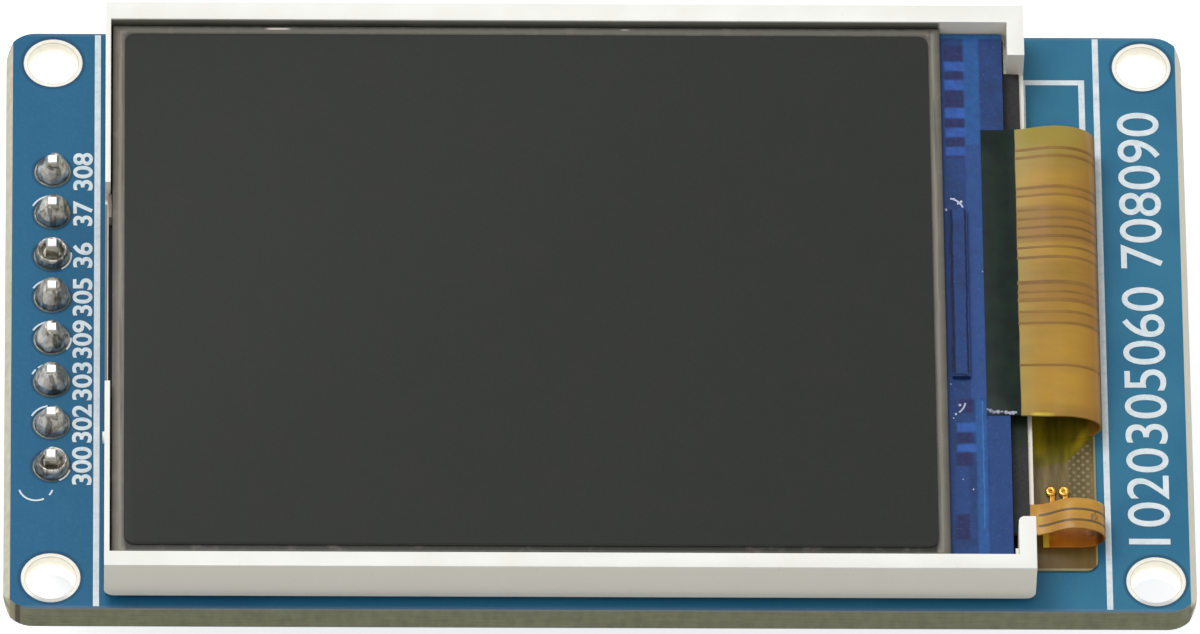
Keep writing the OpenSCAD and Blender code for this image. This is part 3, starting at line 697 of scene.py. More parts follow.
def frameMaterial():
    look = frameLook
    place = startFinish("frame_plastic", look["white"], 0.38, gloss=0.4)
    clouds = noise(place, 0.35)
    colour = mottled(clouds, look["shade"], look["white"])
    axes = split(place)
    # painted shade: the walls below the top face are painted warmer and a little darker than the top
    colour = over(colour, look["wall"], fall(axes["Z"], 4.36, 4.5), 0.8)
    # painted shade on the inner face of the rear wall, which faces away from the light, lightening towards
    # its top
    shaded = within(axes["Y"], frameHigh.y - 1.09, frameHigh.y - 0.94)
    inner = both(shaded, fall(axes["X"], 16.9, 17.1))
    inner = both(inner, fall(axes["Z"], 4.42, 4.5))
    olive = mottled(drawnOut((0.3, 1, 1), 1.6), look["dimDark"], look["dimLight"])
    fade = rise(axes["Z"], 4.05, 4.5)
    olive = over(olive, look["dimTop"], fade, 0.7)
    colour = over(colour, olive, inner, 0.92)
    fromDent = put("ShaderNodeVectorMath", {0: place, 1: look["dent"]},
                   operation="DISTANCE").outputs["Value"]
    dent = fall(fromDent, 0.06, 0.16)
    colour = over(colour, look["dentShade"], dent, 0.4)
    # painted shade: the low lip in the cut of the left wall is painted dark, as if in shadow
    lip = both(within(axes["X"], frameLow.x + 0.03, frameLow.x + 0.22),
               within(axes["Y"], -look["cut"], look["cut"], 0.05))
    lip = both(lip, fall(axes["Z"], 3.05, 3.15))
    colour = over(colour, look["lip"], lip, 0.85)
    specks = rise(noise(place, 4.5, 2.0), 0.735, 0.765)
    colour = over(colour, look["speck"], specks, 0.22)
    fine = noise(place, 7.0, 4.0)
    shine = scaled(fine, 0.2, 0.30)
    rough = relief(noise(place, 0.8, 2.0), 0.02)
    return dress(colour, shine, relief(fine, 0.004, rough))


def screenMaterial():
    look = glassLook
    place = startFinish("dark_polarizer", look["dark"], 0.5, gloss=0.15)
    clouds = noise(place, 0.5, 4.0, 0.7)
    colour = shades(clouds, (0.35, look["warm"]), (0.6, look["dark"]))
    fine = noise(place, 9.0)
    colour = over(colour, look["dust"], rise(fine, 0.45, 0.7), 0.12)
    # painted light: the sheet's side faces, which lie in shade, are painted lighter than its top
    side = fall(split(place)["Z"], 4.235, 4.255)
    colour = over(colour, look["side"], side)
    shine = scaled(fine, 0.10, 0.47)
    return dress(colour, shine, relief(fine, 0.003))


def bareGlassMaterial():  # the border round the dark sheet, with faint lines along it
    look = glassLook
    place = startFinish("bare_glass", look["bare"], 0.35, gloss=0.15)
    axes = split(place)
    low, high = span("filter_glass")
    sideX = apart(axes["X"], (low.x + high.x) / 2)
    sideY = apart(axes["Y"], (low.y + high.y) / 2)
    toX = calc("SUBTRACT", (high.x - low.x) / 2, sideX)
    toY = calc("SUBTRACT", (high.y - low.y) / 2, sideY)
    toEdge = calc("MINIMUM", toX, toY)
    # painted shade: the steps start dark at the glass's edge, in the shade of the frame
    steps = scaled(noise(place, 0.8, 2.0), 0.10, toEdge)
    colour = shades(steps, (0.0, look["gap"]), (0.10, look["inner"]), (0.30, look["bare"]),
                    (0.42, look["line"]), (0.60, look["bare"]), (0.72, look["outer"]))
    frontward = both(rise(toX, 0.55, 0.75), fall(axes["Y"], 0.0, 1.0))
    lines = both(within(toY, 0.26, 0.34, 0.03), 0.8)
    dark = over(look["front"], look["frontLine"], lines)
    colour = over(colour, dark, frontward, 0.9)
    rearward = both(rise(toX, 0.5, 0.8), rise(axes["Y"], 0.0, 1.0))
    uneven = scaled(noise(place, 2.2), 0.12, toY)
    # towards the rear the ramp again starts with painted shade along the frame's rear wall
    rear = shades(uneven, (0.06, look["gap"]), (0.24, look["rear"]), (0.38, look["rear"]),
                  (0.54, look["rearEnd"]))
    colour = over(colour, rear, rearward, 0.85)
    drawn = drawnOut((5, 0.12, 1))
    aside = fall(toX, 0.5, 0.7)
    colour = over(colour, look["drawn"], both(aside, rise(drawn, 0.5, 0.7)), 0.6)
    streaks = drawnOut((0.4, 0.4, 1), 3.0, 4.0)
    colour = over(colour, look["streak"], rise(streaks, 0.52, 0.75), 0.35)
    # painted glint: a small highlight on the rear border, with a fainter one further along
    glint = both(within(axes["X"], -16.5, -15.45, 0.2), within(axes["Y"], 15.88, 15.98, 0.04))
    speck = both(within(axes["X"], 1.15, 1.5, 0.15), within(axes["Y"], 15.9, 15.98, 0.04))
    glint = calc("MAXIMUM", glint, both(speck, 0.5))
    colour = over(colour, look["glint"], glint, 0.9)
    return dress(colour, None, relief(streaks, 0.006))


def lowerGlassMaterial():
    look = glassLook
    place = startFinish("lower_glass_edge", look["clear"], 0.12, gloss=0.6)
    height = drawnOut((0.6, 0.6, 3), 1.5)
    tint = mottled(height, look["clearDark"], look["clear"])
    return dress(tint, None, relief(noise(place, 3.0, 2.0), 0.004))


def rimMaterial():  # painted shade: nearly black in the cut of the left wall, which lies in shadow, greyer beyond the ledge
    look = rimLook
    place = startFinish("black_rim_tape", look["tape"], 0.6, gloss=0.2)
    fine = noise(place, 7.0, 4.0)
    grey = mottled(fine, look["dark"], look["light"])
    axes = split(place)
    right = rise(axes["X"], -1.0, 1.0)
    # painted shadow of the ribbon on the tape, tinted green
    shade = both(right, within(axes["Y"], -8.4, -6.0, 0.25))
    grey = over(grey, look["green"], shade, 0.7)
    return dress(over(look["cut"], grey, right), None, relief(fine, 0.006))


print("frame, glass and films")
dressCopy("backlight_frame", "screen_frame", frameMaterial(), frameLook["edge"], 40, 3)
dressCopy("front_polarizer", "screen_sheet", screenMaterial(),
          glassLook["sheetEdge"])
dressCopy("filter_glass", "upper_glass", bareGlassMaterial(), glassLook["edge"])
dressCopy("array_glass", "lower_glass", lowerGlassMaterial(), glassLook["edge"])
wearNodes(rimMaterial(), "rim_tape")
for name, nodes, colour, other, *surface in innerPieces:
    wearNodes(plasticMaterial(name, colour, other, *surface), *nodes)


# The glass ledge: its blue coat, the conductors that show through it, glue and dust

ledgeLook = {
    "base": (33, 56, 101), "violet": (38, 40, 86), "tooth": (50, 95, 176), "stem": (40, 90, 152),
    "cobalt": (46, 79, 138), "azure": (44, 98, 150), "middle": (38, 69, 127), "line": (62, 118, 182),
    "ink": (12, 18, 56), "haze": (96, 132, 196), "thick": 0.06,
}
ledgeMarks = [  # kind of blue, left, right, front and rear of each conductor and of each painted shade mark
    ("middle", 16.9, 17.22, -15.5, 15.8), ("violet", 17.22, 18.15, 8.5, 15.4),
    ("middle", 17.3, 18.0, -12.9, -10.1), ("violet", 17.6, 18.3, -6.9, -6.1),
    ("violet", 17.45, 18.25, -8.7, -8.1), ("violet", 17.4, 18.2, -10.05, -9.3),
    ("violet", 17.3, 18.0, -14.5, -13.0), ("cobalt", 18.2, 19.02, -6.1, 9.3),
    ("middle", 19.02, 20.2, -15.4, -7.0), ("stem", 18.2, 18.95, 9.3, 15.85),
    ("stem", 18.4, 18.93, -15.5, -6.1), ("line", 18.70, 18.76, -13.8, -6.2),
    ("azure", 17.0, 20.1, 15.82, 16.2), ("azure", 17.2, 20.1, -15.86, -15.72),
    # painted shade: dark marks along the sides and front of the driver chip
    ("ink", 17.31, 17.46, -4.7, 5.2), ("ink", 18.03, 18.13, -4.7, 5.2), ("ink", 17.36, 18.1, -4.82, -4.72),
] + [("tooth", 17.2, 18.22, front, rear) for front, rear in [
    (13.83, 14.40), (12.66, 13.28), (10.95, 11.56), (9.79, 10.34), (8.63, 9.18)]
] + [("tooth", 17.45, 18.42, front, rear) for front, rear in [(-8.05, -7.52), (-9.25, -8.78)]]
glueLook = {
    "bead": [(18.98, -6.72), (19.3, -6.90), (19.7, -6.86), (20.1, -6.95), (20.4, -6.90)],
    "radius": 0.075, "level": 0.05, "small": 0.9, "big": 1.3, "flat": 0.7, "bridge": 1.5, "bridgeFlat": 0.5,
    "grain": 0.03, "rounds": 4, "pale": (168, 174, 188), "dark": (112, 122, 146),
}
dustLook = {
    "spots": [(17.16, 5.33, 0.10), (17.57, 6.00, 0.07), (17.92, 5.82, 0.10), (17.75, 5.70, 0.06),
              (17.63, -6.45, 0.10), (17.42, -7.00, 0.08), (17.30, -7.25, 0.05), (19.55, -4.75, 0.07),
              (19.35, -3.3, 0.05), (19.1, -0.4, 0.04), (20.3, -5.6, 0.05), (19.8, -5.85, 0.07),
              (18.9, 1.6, 0.05), (17.7, -10.9, 0.05), (18.2, -11.5, 0.06), (17.2, -5.2, 0.05)],
    "flat": 0.3, "level": 0.02, "size": 0.75, "pale": (200, 206, 224), "dark": (150, 160, 200),
    "scratches": [(17.2, 5.2, 0.85, 20, 78), (17.0, -6.2, 0.9, -50, -8), (19.6, -4.4, 0.4, 200, 290)],
}


def ledgeMaterial():
    look = ledgeLook
    place = startFinish("blue_coat", look["base"], 0.34, gloss=0.2)
    axes = split(place)
    wander = noise(place, 1.3, 2.0)
    alongX = scaled(wander, 0.10, calc("SUBTRACT", axes["X"], 0.05))
    alongY = scaled(wander, -0.16, calc("ADD", axes["Y"], 0.08))
    clouds = noise(place, 0.9, 4.0, 0.6)
    colour = shades(clouds, (0.35, look["base"]), (0.7, look["middle"]))
    patchy = scaled(rise(noise(place, 2.4, 4.0, 0.7), 0.35, 0.6), 0.32, 0.62)
    for kind, left, right, front, rear in ledgeMarks:
        soft = 0.03 if kind in ("line", "ink") else 0.08
        strength = 0.95 if kind == "ink" else patchy
        mark = both(within(alongX, left, right, soft), within(alongY, front, rear, soft + 0.02))
        colour = over(colour, look[kind], mark, strength)
    fine = noise(place, 9.0)
    colour = over(colour, look["haze"], rise(fine, 0.58, 0.8), 0.3)
    return dress(colour, scaled(fine, 0.2, 0.26), relief(noise(place, 2.2), 0.02))


def slab(low, high, edge):  # a flat block between two corners, with soft edges
    bpy.ops.mesh.primitive_cube_add(size=1, location=[(a + b) / 2 for a, b in zip(low, high)],
                                    scale=[b - a for a, b in zip(low, high)])
    block = bpy.context.object
    bpy.ops.object.transform_apply(location=True, rotation=True, scale=True)
    startEditing(block, "VERT")
    bpy.ops.mesh.bevel(offset=edge, segments=2, affect="EDGES")
    stopEditing()
    return block


def dropOf(x, y, z, radius, flat):  # a small flattened drop
    drop = freshPiece("ico_sphere", subdivisions=2, radius=radius, location=(x, y, z))
    bpy.ops.transform.resize(value=(1, 1.2, flat), center_override=(x, y, z))
    bpy.ops.transform.vertex_random(offset=radius * 0.18, seed=int(abs(x * 100 + y * 10)) % 97)
    stopEditing()
    return drop


print("ledge")
wearNodes(ledgeMaterial(), "ledge_coat")
coatTop = span("array_glass")[1].z + ledgeLook["thick"]

look = glueLook
glueFinish = plasticMaterial("dried_glue", look["pale"], look["dark"], 0.3, 9.0, 0.02)
bead, level = look["bead"], coatTop + look["level"]
drops = [dropOf(x, y, level, look["radius"] * look["big" if i % 2 else "small"], look["flat"])
         for i, (x, y) in enumerate(bead)]
drops += [dropOf((a[0] + b[0]) / 2, (a[1] + b[1]) / 2, level, look["radius"] * look["bridge"],
                 look["bridgeFlat"]) for a, b in zip(bead, bead[1:])]
glueBead = joinUp(drops)
meltTogether(glueBead, look["grain"], look["rounds"])
finishPiece(glueBead, "glue_bead", glueFinish, smooth=60)
look = dustLook
specks = [dropOf(x, y, coatTop + look["level"], radius * look["size"], look["flat"])
          for x, y, radius in look["spots"]]
specks += [printedArc(*scratch, coatTop) for scratch in look["scratches"]]
dustFinish = plasticMaterial("pale_dust", look["pale"], look["dark"], 0.7, 5.0, 0.02)
finishPiece(joinUp(specks), "ledge_dust", dustFinish, smooth=60)


# The display ribbon, from the ledge over a crest and round a fold to its panel on the board

ribbonLook = {
    "thick": 0.1, "startX": 18.96, "startZ": 3.62, "riseX": 20.21, "topX": 22.65, "topZ": 3.80,
    "foldX": 24.60, "lowX": 23.45, "lowZ": 1.67, "panelX": 14.0, "low": -7.05, "high": 10.2,
    "twist": 1.56, "columns": 12, "panelFront": -15.0, "panelRight": 24.35, "neck": 0.02,
    "cornerRoom": 1.6, "cornerRadius": 0.6, "tuck": (0, 0.3, -0.03), "softEdge": 0.02,
}
filmLook = {
    "base": (184, 146, 60), "deep": (152, 117, 45), "amber": (170, 130, 46), "light": (182, 140, 46),
    "rear": (146, 138, 58), "fold": (160, 108, 40), "bond": (166, 156, 96), "band": (140, 96, 46),
    "green": (26, 42, 34), "greenDark": (22, 32, 30), "olive": (126, 112, 16), "oliveDark": (88, 80, 12),
    "brown": (136, 118, 74), "brownDark": (92, 78, 44), "field": (98, 84, 56), "dot": (156, 144, 110),
    "bright": (206, 178, 40), "yellow": (178, 156, 16), "front": (104, 78, 26), "rim": (168, 156, 116),
    "flap": (226, 202, 60), "copper": (148, 110, 46), "copperDark": (126, 92, 40),
    "bands": [(3.3, 5.5, 0.5), (-0.3, 1.0, 0.5), (-1.7, -0.8, 0.35), (6.0, 6.7, 0.25)], "dotSize": 3.1,
}
traceLook = {
    "lift": 0.053, "thick": 0.012, "from": 20.69, "start": 20.62,
    "lines": [(8.90, 0.16), (8.43, 0.16), (6.58, 0.16), (6.11, 0.14), (5.26, 0.14), (4.72, 0.14),
              (4.19, 0.14), (3.64, 0.16), (2.99, 0.12), (2.39, 0.16), (0.89, 0.20), (0.32, 0.12),
              (-0.16, 0.20), (-0.86, 0.14), (-1.54, 0.14), (-4.05, 0.14)],
}
ribbonPivot = (ribbonLook["low"] + ribbonLook["high"]) / 2


def foldRoute(look):  # out over a crest, round a fold and back underneath
    middleZ = (look["topZ"] + look["lowZ"]) / 2
    upper = (look["foldX"] - look["topX"], look["topZ"] - middleZ)
    lower = (look["foldX"] - look["lowX"], middleZ - look["lowZ"])
    return ([(look["startX"], look["startZ"])]
            + rampLine(look["riseX"], look["startZ"], look["topX"], look["topZ"], 10)
            + arcLine(look["topX"], middleZ, *upper, 82.5, 0, 12)
            + arcLine(look["lowX"], middleZ, *lower, -7.5, -90, 12))


def twistAt(x, z):  # how far the ribbon is turned there: nothing on the ledge, most at the crest
    look = ribbonLook
    onto = min(max((x - look["riseX"]) / (look["topX"] - look["riseX"]), 0), 1)
    down = min(max((z - look["lowZ"]) / (look["topZ"] - look["lowZ"]), 0), 1)
    return math.radians(look["twist"]) * onto * onto * (3 - 2 * onto) * down


def thicken(sheet, thick):
    treat(sheet, "SOLIDIFY", thickness=thick, offset=0, use_even_offset=True)
    startEditing(sheet, "FACE")
    turnOutward()


def stretchedSheet(route, low, high, columns, pivotY, thick, twist=1.0):  # drawn along a route of X and Z
    sheet = freshPiece("grid", "VERT", x_subdivisions=1, y_subdivisions=columns, size=1)
    choose(sheet, "VERT", lambda spot, way: spot.x > 0.1)
    bpy.ops.mesh.delete(type="VERT")
    bpy.ops.mesh.select_all(action="SELECT")
    bpy.ops.transform.translate(value=(0.5, 0, 0))
    bpy.ops.transform.resize(value=(1, high - low, 1), center_override=(0, 0, 0))
    bpy.ops.transform.translate(value=(route[0][0], (low + high) / 2, route[0][1]))
    bpy.ops.mesh.select_mode(type="EDGE")
    bpy.ops.mesh.select_all(action="SELECT")
    turned = 0.0
    for (x0, z0), (x1, z1) in zip(route, route[1:]):
        pull(x1 - x0, 0, z1 - z0)
        turn = twistAt(x1, z1) * twist - turned
        if abs(turn) > 1e-6:
            bpy.ops.transform.rotate(value=-turn, orient_axis="X", center_override=(x1, pivotY, z1))
            turned += turn
    stopEditing()
    if thick:
        thicken(sheet, thick)
    return sheet


def displayRibbon():
    look = ribbonLook
    low, panelZ, panelRight = look["low"], look["lowZ"], look["panelRight"]
    cornerX = panelRight - look["cornerRoom"]
    route = foldRoute(ribbonLook) + [(cornerX, panelZ), (look["panelX"], panelZ)]
    sheet = stretchedSheet(route, low, look["high"], look["columns"], ribbonPivot, 0)
    startEditing(sheet, "EDGE")
    flat = panelZ + 0.001
    choose(sheet, "EDGE", lambda spot, way: spot.z < flat and abs(spot.y - low) < 0.01 and abs(way.x) > 0.9
           and spot.x < cornerX)
    pull(0, -look["neck"], 0)
    pull(0, look["panelFront"] - low + look["neck"], 0)
    choose(sheet, "EDGE", lambda spot, way: spot.z < flat and abs(spot.x - cornerX) < 0.01
           and abs(way.y) > 0.9 and spot.y < low - look["neck"])
    pull(look["cornerRoom"], 0, 0)
    bpy.ops.mesh.select_mode(type="VERT")
    choose(sheet, "VERT", lambda spot, way: spot.z < flat and spot.x > panelRight - 0.01
           and spot.y < low - 0.1)
    bpy.ops.mesh.bevel(offset=look["cornerRadius"], segments=6, affect="VERTICES")
    choose(sheet, "VERT", lambda spot, way: spot.z < flat and spot.x > panelRight - 0.01
           and low - 0.1 < spot.y < low - 0.01)
    bpy.ops.transform.translate(value=look["tuck"])  # its rear corner slips under the fold
    bpy.ops.mesh.select_all(action="SELECT")
    bpy.ops.mesh.remove_doubles(threshold=weldGap)
    stopEditing()
    thicken(sheet, look["thick"])
    softenEdges(sheet, look["softEdge"], 50)
    return sheet


def filmMaterial():
    look = filmLook
    place = startFinish("amber_film", look["base"], 0.34, gloss=0.3)
    axes = split(place)
    clouds = drawnOut((0.25, 1.0, 0.25), 0.8, 4.0)
    amber = shades(clouds, (0.30, look["deep"]), (0.5, look["amber"]), (0.72, look["light"]))
    rear = rise(axes["Y"], 6.5, 10.3)
    amber = over(amber, look["rear"], rear, 0.7)
    nearFold = rise(axes["X"], 23.2, 24.6)
    amber = over(amber, look["fold"], nearFold, 0.55)
    nearBond = fall(axes["X"], 20.7, 21.7)
    amber = over(amber, look["bond"], nearBond, 0.4)
    for front, rear, amount in look["bands"]:
        band = both(within(axes["Y"], front, rear, 0.12), amount)
        amber = over(amber, look["band"], band)
    green = mottled(noise(place, 1.1), look["greenDark"], look["green"])
    edge = scaled(noise(place, 0.6, 1.0), 0.08, axes["X"])
    bonded = fall(edge, 20.66, 20.72)
    top = both(bonded, rise(axes["Z"], 3.0, 3.1))
    colour = over(amber, green, top)
    feed("Specular IOR Level", scaled(top, -0.2, 0.3))
    low = fall(axes["Z"], 1.80, 1.95)
    slant = scaled(axes["X"], 0.2, -13.11)
    slant = scaled(rise(axes["X"], 22.7, 24.3), 1.2, slant)
    border = calc("SUBTRACT", axes["Y"], slant)
    streaks = drawnOut((3.0, 0.35, 1.0))
    olive = shades(streaks, (0.35, look["oliveDark"]), (0.7, look["olive"]))
    brown = shades(streaks, (0.35, look["brownDark"]), (0.7, look["brown"]))
    bare = fall(border, -0.08, 0.05)
    panel = over(olive, brown, bare)
    lattice = put("ShaderNodeTexVoronoi",
                  {"Vector": millimetres(turn=(0, 0, math.pi / 4)), "Randomness": 0.0,
                   "Scale": look["dotSize"]}).outputs["Distance"]
    dots = fall(lattice, 0.24, 0.46)
    field = both(within(axes["X"], 23.0, 24.12, 0.1), within(axes["Y"], -10.9, -7.3, 0.2))
    panel = over(panel, look["field"], both(field, bare), 0.6)
    panel = over(panel, look["dot"], both(field, bare), dots)
    # painted light: a lighter band along the olive zone's border, beyond the ribbon's shadow
    bright = both(within(border, 0.1, 0.8, 0.3), within(axes["X"], 23.3, 24.1, 0.3))
    panel = over(panel, look["bright"], bright, 0.55)
    side = both(fall(axes["X"], 21.5, 22.1), rise(border, 0.2, 1.0))
    panel = over(panel, look["yellow"], side, 0.5)
    # painted shadow of the backlight strip over the front of the panel
    front = fall(axes["Y"], -12.4, -11.6)
    panel = over(panel, look["front"], front, 0.8)
    rim = calc("MAXIMUM", rise(axes["X"], 24.22, 24.28), fall(axes["Y"], -14.92, -14.84))
    panel = over(panel, look["rim"], rim, 0.7)
    colour = over(colour, panel, low)
    # painted highlight: a bright yellow strip where the film's front edge curls up into the light
    flap = both(fall(axes["Y"], ribbonLook["low"] + 0.10, ribbonLook["low"] + 0.24),
                rise(axes["Z"], 3.2, 3.3))
    flap = both(flap, within(axes["X"], 21.2, 22.2, 0.2))
    patchy = scaled(noise(place, 2.5, 2.0), 0.8, 0.2)
    colour = over(colour, look["flap"], flap, patchy)
    fine = noise(place, 8.0)
    waves = drawnOut((0.5, 0.12, 0.5), 1.0, 2.0)
    bumps = relief(fine, 0.004, relief(waves, 0.08))
    return dress(colour, scaled(fine, 0.15, 0.24), bumps)


print("display ribbon")
filmFinish = filmMaterial()
finishPiece(displayRibbon(), "amber_ribbon", filmFinish, ["display_ribbon"], smooth=50)
traceRoute = [(x, z) for x, z in foldRoute(ribbonLook) if x >= traceLook["from"]]
traceRoute = lifted([(traceLook["start"], ribbonLook["startZ"] + 0.006)] + traceRoute, traceLook["lift"])
traces = [stretchedSheet(traceRoute, y - wide / 2, y + wide / 2, 1, ribbonPivot, traceLook["thick"])
          for y, wide in traceLook["lines"]]
traceFinish = plasticMaterial("copper_under_film", filmLook["copper"], filmLook["copperDark"], 0.35, 3.0,
                              0.004, gloss=0.3)
finishPiece(joinUp(traces), "ribbon_traces", traceFinish, smooth=50)


# The backlight ribbon, its two leads and their golden joints

stripLoop = {
    "low": -13.65, "high": -11.85, "startX": 20.64, "startZ": 2.82, "riseX": 21.24, "topX": 23.15,
    "topZ": 3.45, "foldX": 24.65, "lowX": 23.55, "lowZ": 1.77, "endX": 21.65, "thick": 0.1,
    "barLow": 2.772, "barHigh": 2.868, "barRear": 11.75,
    "lines": [(-12.52, 0.13), (-13.16, 0.13)], "lineLift": 0.053, "lineThick": 0.012, "barEdge": 0.01,
    "columns": 4, "narrow": 0.5,
}
stripLook = {
    "base": (190, 140, 56), "deep": (172, 122, 48), "light": (200, 150, 62), "red": (170, 84, 20),
    "orange": (206, 120, 30), "golden": (226, 170, 44), "bar": (244, 206, 62), "pocket": (58, 36, 16),
    "foot": (216, 128, 36), "patch": (110, 92, 60), "line": (104, 84, 46), "lineDark": (84, 66, 38),
}
goldLook = {"light": (255, 202, 100), "dark": (232, 156, 56), "roughness": 0.26, "grain": 2.5}
leadLook = {
    "xs": (22.09, 22.73), "from": -12.0, "to": -10.46, "wide": 0.26, "side": 0.06, "z": 1.78,
    "ring": 0.17, "tube": 0.12,
}


def flatSheet(route, low, high, thick):  # without the display ribbon's twist
    columns = stripLoop["columns"] if high - low > stripLoop["narrow"] else 1
    return stretchedSheet(route, low, high, columns, (low + high) / 2, thick, 0.0)


def stripMaterial():
    look = stripLook
    place = startFinish("amber_strip", look["base"], 0.3, gloss=0.3)
    axes = split(place)
    clouds = noise(place, 0.8, 4.0)
    amber = shades(clouds, (0.32, look["deep"]), (0.68, look["light"]))
    # painted light: the faces under the loop take the red and golden glow of light passing through the amber
    # film
    inner = fall(axes["Z"], 2.4, 3.0)
    glow = shades(noise(place, 1.8), (0.3, look["red"]), (0.55, look["orange"]), (0.75, look["golden"]))
    colour = over(amber, glow, inner)
    # a brighter painted patch of that light
    bar = both(inner, within(axes["X"], 21.35, 21.95, 0.05))
    colour = over(colour, look["bar"], bar)
    # painted shadow deeper in the pocket under the loop
    pocket = both(inner, rise(axes["X"], 22.7, 23.7))
    colour = over(colour, look["pocket"], pocket, 0.85)
    foot = both(fall(axes["Z"], 1.95, 2.15), rise(axes["X"], 22.0, 22.4))
    colour = over(colour, look["foot"], foot, 0.7)
    patch = both(within(axes["X"], 23.95, 24.35, 0.03), within(axes["Y"], -13.1, -12.5, 0.03))
    patch = both(patch, rise(noise(place, 7.0, 1.0), 0.42, 0.52))
    colour = over(colour, look["patch"], patch, 0.7)
    fine = noise(place, 7.0)
    return dress(colour, scaled(fine, 0.15, 0.22), relief(fine, 0.006))


def leadJoint(x):
    look = leadLook
    place = Vector((x, look["to"] + 0.1, look["z"] + 0.06))
    ring = freshPiece("torus", location=place, major_radius=look["ring"], minor_radius=look["tube"],
                      major_segments=28, minor_segments=12)
    bpy.ops.transform.resize(value=(0.92, 1.1, 0.8), center_override=place)
    bpy.ops.transform.vertex_random(offset=0.012, seed=int(x))
    stopEditing()
    left = x - look["side"]
    stem = slab((left, look["from"], look["z"] - 0.04),
                (left + look["wide"], look["to"] + 0.12, look["z"] + 0.08), 0.03)
    return joinUp([ring, stem])


print("backlight ribbon")
look = stripLoop
stripRoute = foldRoute(look) + [(look["endX"], look["lowZ"])]
loopBody = flatSheet(stripRoute, look["low"], look["high"], look["thick"])
softenEdges(loopBody, ribbonLook["softEdge"], 50)
lampBar = slab((span("backlight_ribbon")[0].x, look["low"], look["barLow"]),
               (span("rim_tape")[1].x, look["barRear"], look["barHigh"]), look["barEdge"])
finishPiece(joinUp([loopBody, lampBar]), "amber_strip", stripMaterial(),
            ["backlight_ribbon"], smooth=50)
lineRoute = lifted(stripRoute[2:26], look["lineLift"])
lines = [flatSheet(lineRoute, y - wide / 2, y + wide / 2, look["lineThick"]) for y, wide in look["lines"]]
lineFinish = plasticMaterial("dark_copper_lines", stripLook["line"], stripLook["lineDark"], 0.35, 3.0, 0.004)
finishPiece(joinUp(lines), "strip_traces", lineFinish, smooth=50)
look = goldLook
goldFinish = tinMaterial("golden_solder", look["light"], look["dark"], look["roughness"], look["grain"])
finishPiece(joinUp([leadJoint(x) for x in leadLook["xs"]]), "golden_joints", goldFinish,
            ["lamp_lead_solder"], smooth=60)


# Small parts on the underside

tan, black, chipBlack = (176, 148, 108), (34, 34, 36), (34, 34, 35)
undersideParts = [  # node, finish, slot, colour, where the metal ends begin and on which axis, edge
    ("input_capacitor", "input_capacitor", "capacitor_ceramic", tan, 0.48, "X", 0.03),
    ("output_capacitor", "output_capacitor", "capacitor_ceramic", tan, 0.48, "X", 0.03),
    ("lamp_resistor", "lamp_resistor", "resistor_body", black, 0.48, "X", 0.02),
    ("base_resistor", "base_resistor", "resistor_body", black, 0.48, "X", 0.02),
    ("reset_resistor", "reset_resistor", "resistor_body", black, 0.48, "X", 0.02),
    ("voltage_regulator", "regulator", "chip_black", chipBlack, 0.67, "Y", 0.05),
    ("backlight_transistor", "transistor", "chip_black", chipBlack, 0.67, "X", 0.05),
]
tinLook = {"light": (206, 204, 198), "dark": (150, 148, 142)}


def partMaterial(name, centre, dark, metalFrom, along):  # with metal at both ends
    place = startFinish(name, dark, 0.5)
    fine = noise(place, 7.0, 4.0)
    shell = mottled(fine, [c * 0.8 for c in dark], dark)
    metal = rise(apart(split(place)[along], getattr(centre, along.lower())), metalFrom - 0.01,
                 metalFrom + 0.01)
    feed("Metallic", both(metal, 0.9))
    tin = mottled(noise(place, 3.0), tinLook["dark"], tinLook["light"])
    return dress(over(shell, tin, metal), scaled(fine, 0.2, 0.32), relief(fine, 0.01))


print("underside parts")
for node, name, slotName, dark, metalFrom, along, edge in undersideParts:
    partFinish = partMaterial(name, middle(node), dark, metalFrom, along)
    dressCopy(node, name + "_soft", partFinish, edge)


# Floor, light and camera

studio = {
    "floor": 0.55, "floorGlow": 0.76, "ambient": 0.72, "dim": 0.3, "brightSide": (-0.3, 0.5, 0.8),
    "key": {"place": (-0.3, 0.28, 0.85), "size": 0.5, "power": 3.8},
    "fill": {"place": (0.5, -0.5, 0.6), "size": 0.6, "power": 0.5},
}
shot = {
    "aim": (-0.0218, 0.1992, 1.6), "distance": 1112.2, "elevation": 54.984, "azimuth": -2.275, "roll": 2.085,
    "lens": 673.4, "sensor": 36.0,
}


def seenDirectly():  # 1 for rays from the camera, from gloss and through glass
    rays = put("ShaderNodeLightPath", {}).outputs
    gloss = calc("MAXIMUM", rays["Is Camera Ray"], rays["Is Glossy Ray"])
    return calc("MAXIMUM", gloss, rays["Is Transmission Ray"])


def buildFloor():
    startFinish("pale_floor", (255, 255, 255), 0.9, gloss=0.0)
    finish["sockets"]["Base Color"].default_value = (studio["floor"],) * 3 + (1,)
    finish["sockets"]["Emission Color"].default_value = (1, 1, 1, 1)
    feed("Emission Strength", both(seenDirectly(), studio["floorGlow"]))
    bpy.ops.mesh.primitive_plane_add(size=12, location=(0, 0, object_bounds()[0].z - 0.00002))
    floor = bpy.context.object
    floor.name = "studio_floor"
    floor.data.materials.append(finish["material"])


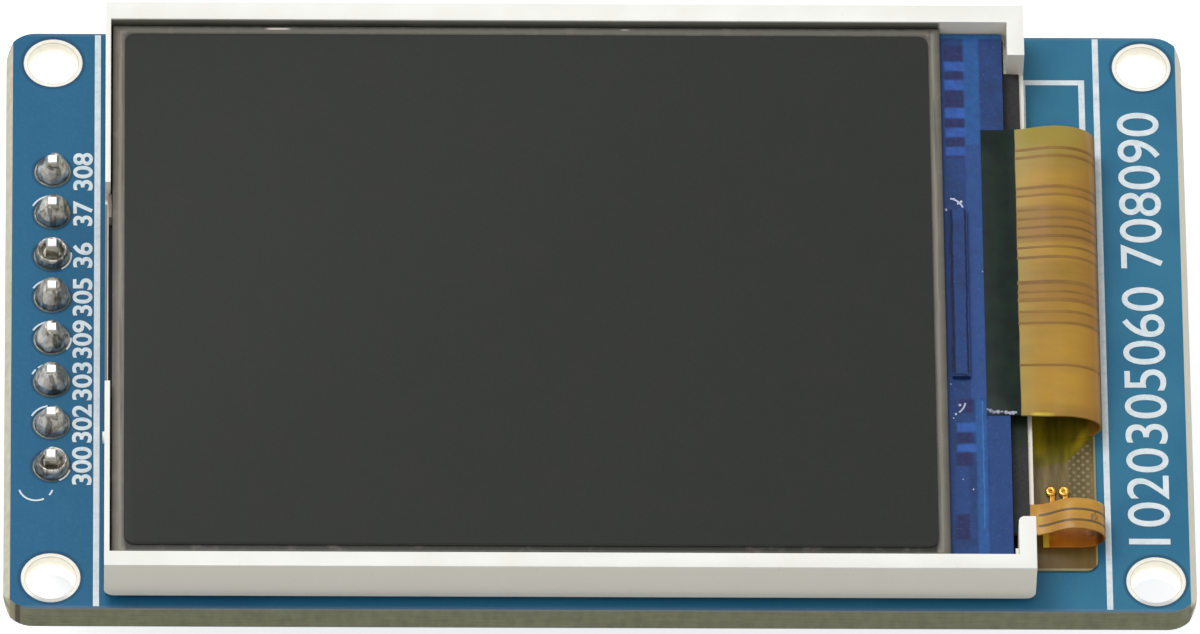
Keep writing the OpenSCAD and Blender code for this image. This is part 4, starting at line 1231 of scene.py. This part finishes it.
def buildWorld():
    world = bpy.data.worlds.new("studio_world")
    bpy.context.scene.world = world
    world.use_nodes = True
    finish.update(tree=world.node_tree, sockets=world.node_tree.nodes["Background"].inputs)
    finish["sockets"]["Color"].default_value = (1, 1, 1, 1)
    way = put("ShaderNodeTexCoord", {}).outputs["Generated"]
    up = put("ShaderNodeVectorMath", {0: way, 1: Vector(studio["brightSide"]).normalized()},
             operation="DOT_PRODUCT").outputs["Value"]
    fade = put("ShaderNodeMapRange",
               {"Value": up, "From Min": -0.6, "From Max": 0.9, "To Min": studio["dim"],
                "To Max": studio["ambient"]}).outputs[0]
    seen = put("ShaderNodeLightPath", {}).outputs["Is Camera Ray"]
    feed("Strength", put("ShaderNodeMix", {0: seen, 2: fade, 3: 1.0}).outputs[0])


def addLamp(name, look):
    light = bpy.data.lights.new(name, "AREA")
    light.size = look["size"]
    light.energy = look["power"]
    lamp = bpy.data.objects.new(name, light)
    lamp.location = look["place"]
    lamp.rotation_mode = "QUATERNION"
    lamp.rotation_quaternion = (-Vector(look["place"])).to_track_quat("-Z", "Y")
    lamp.visible_camera = False
    bpy.context.scene.collection.objects.link(lamp)


def addCamera():
    turn, tilt = math.radians(shot["azimuth"]), math.radians(shot["elevation"])
    ahead = Vector((-math.sin(turn) * math.cos(tilt), math.cos(turn) * math.cos(tilt), -math.sin(tilt)))
    level = ahead.cross(Vector((0, 0, 1))).normalized()
    up = level.cross(ahead)
    roll = math.radians(shot["roll"])
    right = level * math.cos(roll) + up * math.sin(roll)
    up = right.cross(ahead)
    camera = bpy.data.objects.new("camera", bpy.data.cameras.new("camera"))
    bpy.context.scene.collection.objects.link(camera)
    camera.data.lens = shot["lens"]
    camera.data.sensor_width = shot["sensor"]
    camera.data.clip_start = 0.01
    place = (Vector(shot["aim"]) - ahead * shot["distance"]) * mm
    camera.matrix_world = Matrix((right, up, -ahead)).transposed().to_4x4()
    camera.location = place
    bpy.context.scene.camera = camera


print("floor, light and camera")
buildFloor()
buildWorld()
addLamp("key_light", studio["key"])
addLamp("fill_light", studio["fill"])
addCamera()
bpy.context.scene.view_settings.view_transform = "Standard"
